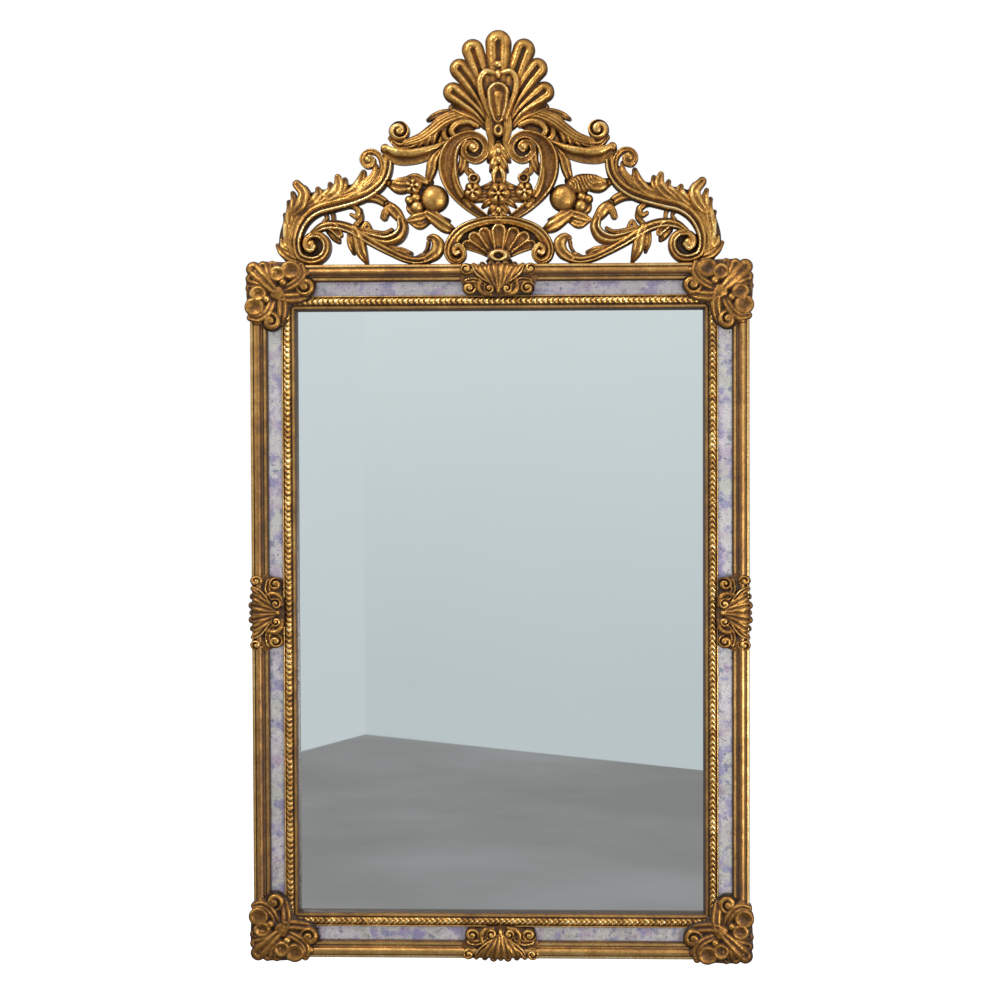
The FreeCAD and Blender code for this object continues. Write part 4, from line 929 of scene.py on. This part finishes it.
def closed_block(points, raised, columns, rows, foot):
    """Closes a grid of points with walls and a flat back; foot gives the point under one on the rim."""
    wide = columns + 1
    rim = (list(range(wide)) + [j * wide + columns for j in range(1, rows + 1)]
           + [rows * wide + i for i in range(columns - 1, -1, -1)]
           + [j * wide for j in range(rows - 1, 0, -1)])
    low, count = len(points), len(rim)
    faces = [(j * wide + i, j * wide + i + 1, (j + 1) * wide + i + 1, (j + 1) * wide + i)
             for j in range(rows) for i in range(columns)]
    faces += [(rim[(k + 1) % count], rim[k], low + k, low + (k + 1) % count) for k in range(count)]
    faces.append(tuple(range(low, low + count))[::-1])
    # the foot counts as not raised at all, so the walls darken towards it as painted shade
    return points + [foot(points[k]) for k in rim], raised + [0.0] * count, faces


def leaf_surface(across, along):
    """A pair of leaves, across and along from 0 to 1: how high it is, and how raised it counts, which sets
    its painted shade and highlight.
    """
    crown = math.sin(math.pi * across) ** 0.4
    bend = (along - 0.75 * abs(2 * across - 1) - 0.35 * (across - 0.5)) % 1
    scale = min(bend / 0.25, 1.0) * (1 - 0.8 * max(0.0, (bend - 0.25) / 0.75) ** 1.2)
    height = LEAF_HEIGHT * crown * (0.45 + 0.55 * scale)
    return max(height, LEAF_LEAST), 0.04 + 0.96 * scale ** 1.2 * crown


def leaf_tile():
    """A pair of leaves as a closed block, on its bed with its length along X and its front up Z."""
    points, raised = [], []
    for j in range(LEAF_ROWS + 1):
        for i in range(LEAF_STEPS + 1):
            across, along = j / LEAF_ROWS, i / LEAF_STEPS
            height, level = leaf_surface(across, along)
            x, y = (along - 0.5) * LEAF_PITCH, (across - 0.5) * (LEAF_TO - LEAF_FROM)
            points.append((x / 1000, y / 1000, height / 1000))
            raised.append(level)
    points, raised, faces = closed_block(points, raised, LEAF_STEPS, LEAF_ROWS, lambda p: (p[0], p[1], 0.0))
    mesh = bpy.data.meshes.new("pair_of_leaves")
    mesh.from_pydata(points, [], faces)
    mesh.attributes.new("raised", "FLOAT", "POINT").data.foreach_set("value", raised)
    mesh.polygons.foreach_set("use_smooth", [k < LEAF_ROWS * LEAF_STEPS for k in range(len(faces))])
    return bpy.data.objects.new("pair_of_leaves", mesh)


def leaf_run_tree():
    """Lays the leaves at even steps along X, Count times, and gives the run its finish."""
    tree = bpy.data.node_groups.new("run_of_leaves", "GeometryNodeTree")
    for name, kind in (("Leaves", "Object"), ("Count", "Int"), ("Pitch", "Float"), ("Finish", "Material")):
        tree.interface.new_socket(name, in_out="INPUT", socket_type="NodeSocket" + kind)
    tree.interface.new_socket("Geometry", in_out="OUTPUT", socket_type="NodeSocketGeometry")
    run = Nodes(tree)
    given = run.node("NodeGroupInput").outputs
    steps_back = run.work_out("MULTIPLY", run.work_out("SUBTRACT", given["Count"], 1.0), -0.5)
    start = run.join("ShaderNodeCombineXYZ", run.work_out("MULTIPLY", steps_back, given["Pitch"]))
    step = run.join("ShaderNodeCombineXYZ", given["Pitch"])
    line = run.node("GeometryNodeMeshLine", Count=given["Count"], Start_Location=start, Offset=step)
    leaves = run.node("GeometryNodeObjectInfo", Object=given["Leaves"])
    laid = run.node("GeometryNodeInstanceOnPoints", Points=line.outputs["Mesh"],
                    Instance=leaves.outputs["Geometry"])
    whole = run.node("GeometryNodeRealizeInstances", Geometry=laid.outputs["Instances"])
    finished = run.node("GeometryNodeSetMaterial", Geometry=whole.outputs["Geometry"],
                        Material=given["Finish"])
    run.node("NodeGroupOutput", Geometry=finished.outputs["Geometry"])
    return tree


def laid_run(name, tree, values):
    """The plain mesh that a Geometry Nodes tree makes with these named inputs."""
    holder = bpy.data.objects.new(name, bpy.data.meshes.new(name))
    bpy.context.scene.collection.objects.link(holder)
    modifier = holder.modifiers.new(name, "NODES")
    modifier.node_group = tree
    for item in tree.interface.items_tree:
        if item.in_out == "INPUT":
            modifier[item.identifier] = values[item.name]
    holder.data.update()
    graph = bpy.context.evaluated_depsgraph_get()
    mesh = bpy.data.meshes.new_from_object(holder.evaluated_get(graph), preserve_all_data_layers=True,
                                           depsgraph=graph)
    bpy.data.objects.remove(holder)
    return mesh


def corner_leaf(x, z):
    """The square leaf that covers a mitre of the leaf bands."""
    half, steps = (LEAF_TO - LEAF_FROM) / 2, CORNER_LEAF_STEPS
    points, raised = [], []
    for j in range(steps + 1):
        for i in range(steps + 1):
            p, q = 2 * i / steps - 1, 2 * j / steps - 1
            lobe = 0.5 + 0.5 * math.cos(4 * math.atan2(q, p))
            cushion = max(0.0, 1 - max(abs(p), abs(q)) ** 2.5)
            height = CORNER_LEAF_HEIGHT * cushion * (0.55 + 0.45 * (1 - lobe * min(math.hypot(p, q), 1)))
            points.append(place(x + p * half, z + q * half, LEAF_BASE + CORNER_LEAF_LIFT + height))
            # higher points are drawn lighter, as painted shade and highlight
            raised.append(min(1.0, 0.15 + height / 6.5))
    down = Vector((0, (CORNER_LEAF_LIFT + 0.01) / 1000, 0))
    return closed_block(points, raised, steps, steps, lambda point: point + down)


def add_corner_leaves(mesh, z):
    """Adds the two corner leaves to the top or bottom band, whose middle is at the height z."""
    shape = bmesh.new()
    shape.from_mesh(mesh)
    layer = shape.verts.layers.float["raised"]
    for x in (LEAF_MIDDLE - FRAME_WIDTH / 2, FRAME_WIDTH / 2 - LEAF_MIDDLE):
        points, raised, faces = corner_leaf(x, z)
        made = [shape.verts.new(p) for p in points]
        for vert, level in zip(made, raised):
            vert[layer] = level
        for face in faces:
            shape.faces.new([made[k] for k in face]).smooth = True
    shape.to_mesh(mesh)
    shape.free()


def leaf_bands(finish):
    """The four bands: runs of leaves between square corner leaves."""
    tile, tree = leaf_tile(), leaf_run_tree()
    bpy.context.scene.collection.objects.link(tile)
    side_x = FRAME_WIDTH / 2 - LEAF_MIDDLE
    bands = {}
    for side, span, x, z, turn in (("top", FRAME_WIDTH, 0, -LEAF_MIDDLE, 0),
                                   ("bottom", FRAME_WIDTH, 0, LEAF_MIDDLE - FRAME_HEIGHT, 180),
                                   ("left", FRAME_HEIGHT, -side_x, -FRAME_HEIGHT / 2, 90),
                                   ("right", FRAME_HEIGHT, side_x, -FRAME_HEIGHT / 2, 270)):
        length = span - 2 * LEAF_TO + BAND_SPARE
        count = 2 * round(length / LEAF_PITCH / 2)
        given = {"Leaves": tile, "Count": count, "Pitch": LEAF_PITCH / 1000, "Finish": finish}
        mesh = laid_run("leaf_run_" + side, tree, given)
        stretch = Matrix.Diagonal((length / (count * LEAF_PITCH), 1, 1, 1))
        upright = Matrix.Rotation(math.radians(-turn), 4, "Y") @ Matrix.Rotation(math.pi / 2, 4, "X")
        mesh.transform(Matrix.Translation(place(x, z, LEAF_BASE)) @ upright @ stretch)
        if side in ("top", "bottom"):
            add_corner_leaves(mesh, z)
        bands[side] = mesh
    bpy.data.objects.remove(tile)
    return bands


# ---- putting it together -----------------------------------------------------------------------
def piece(name, mesh, node, gilding):
    """Hands a finished mesh over as the look of one of the solids."""
    obj = bpy.data.objects.new(name, mesh)
    bpy.context.scene.collection.objects.link(obj)
    mesh.materials.clear()
    mesh.materials.append(gilding)
    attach(obj, "mirror")
    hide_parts(node)


carved_gilding = gilded("gilded_carving", carving_depth)


def carved_piece(node, relief, seed, **turned):
    """Carves a piece and gilds it; its back is left dark with bole, and its sides darken towards it as
    painted shade.
    """
    name = "carved_" + node.removeprefix("crest_")
    piece(name, carved_mesh(name, relief, seed, **turned), node, carved_gilding)


crest = crest_reliefs()
for seed, name in enumerate(("palmette", "festoon", "shell")):
    carved_piece("crest_" + name, crest[name], seed)
for seed, name in zip(range(10, 20, 2), ("scroll", "wing", "acanthus", "vine", "fruit")):
    carved_piece("crest_" + name + "_right", crest[name], seed)
    on_left = crest["blossom" if name == "fruit" else name]
    carved_piece("crest_" + name + "_left", on_left, seed + 1, flip=True)

corner = ornament_relief((CORNER_SPAN, CORNER_SPAN), CORNER_MIDDLE, CORNER,
                         lambda a, b: (a - FRAME_WIDTH / 2, -b), lambda a, b: (b, a))
for seed, name in enumerate(("top_left", "top_right", "bottom_left", "bottom_right"), 40):
    carved_piece("corner_" + name, corner, seed, flip="right" in name, upturn="bottom" in name)

LAYINGS = [(50, ("top", "bottom"), lambda along, u: (along, -u)),
           (51, ("left", "right"), lambda along, u: (u - FRAME_WIDTH / 2, along - FRAME_HEIGHT / 2))]
for seed, names, where in LAYINGS:
    cartouche = ornament_relief(((-CARTOUCHE_HALF, CARTOUCHE_HALF), CARTOUCHE_SPAN), CARTOUCHE_MIDDLE,
                                CARTOUCHE, where, lambda along, u: (-along, u))
    for name in names:
        carved_piece("cartouche_" + name, cartouche, seed, flip=name == "right", upturn=name == "bottom")

leaf_gilding = gilded("gilded_leaf_band", leaf_band_depth)
for side, mesh in leaf_bands(leaf_gilding).items():
    piece("leaves_" + side, mesh, "leaf_band_" + side, leaf_gilding)

# ---- finishes of the pieces that keep their solids, by how their names start --------------------
moulding_gilding = gilded("gilded_moulding", moulding_depth, 0.08)
upright_wood, level_wood = bare_wood("bare_wood_upright", "Z"), bare_wood("bare_wood_level", "X")
steel = metal_finish("zinc_plated_steel", (0.62, 0.62, 0.60), (0.30, 0.28, 0.25), 0.3)
KEPT = {"outer_moulding": moulding_gilding, "inner_moulding": moulding_gilding, "strip_": old_mirror(),
        "mirror_plate": clear_mirror(), "back_frame_left": upright_wood, "back_frame_right": upright_wood,
        "back_frame_top": level_wood, "back_frame_bottom": level_wood,
        "crest_batten": bare_wood("bare_wood_batten", "Z", (0.45, 0.31, 0.17), (0.28, 0.17, 0.085)),
        "crest_dowels": steel, "batten_screws": steel, "backboard_screws": steel, "hanger_screws": steel,
        "hanger_ring": steel, "backboard": fibre_board(), "glazing_blocks": cork(), "wall_pads": felt(),
        "hanger_strap": metal_finish("lacquered_brass", (0.72, 0.53, 0.24), (0.34, 0.22, 0.10), 0.28)}
for name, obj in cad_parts.items():
    matches = [start for start in KEPT if name.startswith(start)]
    if matches:
        if not obj.material_slots:
            obj.data.materials.append(None)
        for slot_on_piece in obj.material_slots:
            slot_on_piece.material = KEPT[max(matches, key=len)]

# ---- studio: pale floor and background, and the plain room that the glass reflects ---------------
FLOOR_Z = -1.25
FLOOR_HALF = 12.0
ROOM_CORNER = (-0.96, -5.52)
FRONT_WALL_END = (3.0, -2.58)
LEFT_WALL_END = (-2.1, -2.2)
RIGHT_WALL_END = (3.2, -0.6)
WALL_TOP = 2.0
WALL_PALES = (-1.0, 0.6)          # heights between which a wall grows paler, as painted light
WALL_DARKENS = (0.8, 1.3)         # and those between which it darkens again, as painted shade
# the colour of the painted shade up by the ceiling
CEILING_SHADE_COLOUR = (0.30, 0.29, 0.28)
FLOOR_COLOUR = (0.82, 0.82, 0.82)
FLOOR_GLOW = 0.85                 # what lifts the floor to white for the camera
WORLD_LIGHT = 0.38


def stage_sheet(name, corners, material):
    """A flat sheet of the stage, which isn't part of the object."""
    mesh = bpy.data.meshes.new(name)
    mesh.from_pydata(corners, [], [tuple(range(len(corners)))])
    obj = bpy.data.objects.new(name, mesh)
    bpy.context.scene.collection.objects.link(obj)
    mesh.materials.append(material)
    return obj


def wall_reflection_glow(name, low_colour, high_colour):
    """A glowing sheet that gives the glass a painted reflection of a plain wall: painted light a little
    paler with height, and painted shade up by the ceiling.
    """
    finish = Finish(name)
    colour = finish.mix(finish.spread(finish.height(), *WALL_PALES), low_colour, high_colour)
    colour = finish.mix(finish.spread(finish.height(), *WALL_DARKENS), colour, CEILING_SHADE_COLOUR)
    return finish.show(finish.join("ShaderNodeEmission", colour))


def wall(name, first, last, reflection_glow):
    """A wall between two spots on the floor, a glowing sheet seen only in the glass."""
    corners = [(*first, FLOOR_Z), (*last, FLOOR_Z), (*last, WALL_TOP), (*first, WALL_TOP)]
    obj = stage_sheet(name, corners, reflection_glow)
    for kind in ("camera", "diffuse", "shadow", "transmission", "volume_scatter"):
        setattr(obj, "visible_" + kind, False)


def floor_finish():
    """Pale to the camera and under the object's shadow, and a glowing grey where the glass shows it, a
    painted reflection of a floor.
    """
    finish = Finish("studio_floor")
    path = finish.node("ShaderNodeLightPath").outputs
    matt = finish.join("ShaderNodeBsdfDiffuse", FLOOR_COLOUR)
    glow = finish.work_out("MULTIPLY", path["Is Camera Ray"], FLOOR_GLOW)
    lift = finish.node("ShaderNodeEmission", Strength=glow).outputs[0]
    # the glowing grey is a painted reflection of a floor, seen only in the glass
    grey = finish.ramp(finish.noise(1.1, 4), [(0.35, (0.235, 0.235, 0.235)), (0.7, (0.30, 0.305, 0.31))])
    reflected_floor_glow = finish.join("ShaderNodeEmission", grey)
    pale = finish.join("ShaderNodeAddShader", matt, lift)
    return finish.show(finish.join("ShaderNodeMixShader", path["Is Glossy Ray"], pale, reflected_floor_glow))


def white_world():
    """Even light on the object, and white wherever the camera, a metal or a glass sees past it."""
    world = bpy.data.worlds.new("white_studio")
    bpy.context.scene.world = world
    world.use_nodes = True
    sky = Nodes(world.node_tree)
    path = sky.node("ShaderNodeLightPath").outputs
    seen = sky.work_out("MAXIMUM", path["Is Camera Ray"], path["Is Glossy Ray"])
    seen = sky.work_out("MAXIMUM", seen, path["Is Transmission Ray"])
    background = world.node_tree.nodes["Background"].inputs
    sky.feed(background["Color"], (1, 1, 1))
    sky.feed(background["Strength"], sky.spread(seen, 0.0, 1.0, WORLD_LIGHT, 1.0))


# Glowing sheets whose colours are a painted reflection of a lit room in the glass.
front_wall_glow = wall_reflection_glow("pale_wall", (0.51, 0.57, 0.585), (0.635, 0.695, 0.71))
side_wall_glow = wall_reflection_glow("pale_side_wall", (0.555, 0.61, 0.635), (0.62, 0.68, 0.705))
wall("room_front_wall", ROOM_CORNER, FRONT_WALL_END, front_wall_glow)
wall("room_left_wall", ROOM_CORNER, LEFT_WALL_END, side_wall_glow)
wall("room_right_wall", FRONT_WALL_END, RIGHT_WALL_END, side_wall_glow)
floor_corners = [(x * FLOOR_HALF, y * FLOOR_HALF, FLOOR_Z) for x, y in ((-1, -1), (1, -1), (1, 1), (-1, 1))]
stage_sheet("floor", floor_corners, floor_finish())
white_world()


def soft_lamp(name, spot, aim, size, power):
    """A square lamp of the given width in metres and power in watts, turned towards a point."""
    lamp = bpy.data.lights.new(name, "AREA")
    lamp.shape, lamp.size, lamp.energy = "SQUARE", size, power
    obj = bpy.data.objects.new(name, lamp)
    bpy.context.scene.collection.objects.link(obj)
    obj.location = spot
    obj.rotation_euler = (Vector(aim) - Vector(spot)).to_track_quat("-Z", "Y").to_euler()


soft_lamp("key", (-1.7, -2.6, 2.6), (0, 0, 0.1), 1.2, 70)
soft_lamp("fill", (2.2, -3.0, 1.3), (0, 0, -0.2), 1.4, 14)
soft_lamp("low_fill", (1.7, -2.5, -0.75), (0.1, 0, -0.7), 0.8, 36)

# ---- camera: where the photograph was taken from -------------------------------------------------
CAMERA_SPOT = Vector((0.2707, -4.0276, -0.0441))
YAW, PITCH, ROLL = math.radians(-2.314), math.radians(-1.711), math.radians(-0.155)
camera_data = bpy.data.cameras.new("camera")
camera_data.lens, camera_data.sensor_width = 80.0, 36.0
camera_data.shift_x, camera_data.shift_y = -0.0636, 0.0238
camera_data.clip_start, camera_data.clip_end = 0.1, 60.0
camera = bpy.data.objects.new("camera", camera_data)
bpy.context.scene.collection.objects.link(camera)
ahead = Vector((math.sin(YAW) * math.cos(PITCH), math.cos(YAW) * math.cos(PITCH), math.sin(PITCH)))
level_right = Vector((math.cos(YAW), -math.sin(YAW), 0))
level_up = level_right.cross(ahead)
right = level_right * math.cos(ROLL) + level_up * math.sin(ROLL)
above = level_up * math.cos(ROLL) - level_right * math.sin(ROLL)
turned = Matrix((right, above, -ahead)).transposed().to_4x4()
camera.matrix_world = Matrix.Translation(CAMERA_SPOT) @ turned
bpy.context.scene.camera = camera
bpy.context.scene.view_settings.view_transform = "Standard"
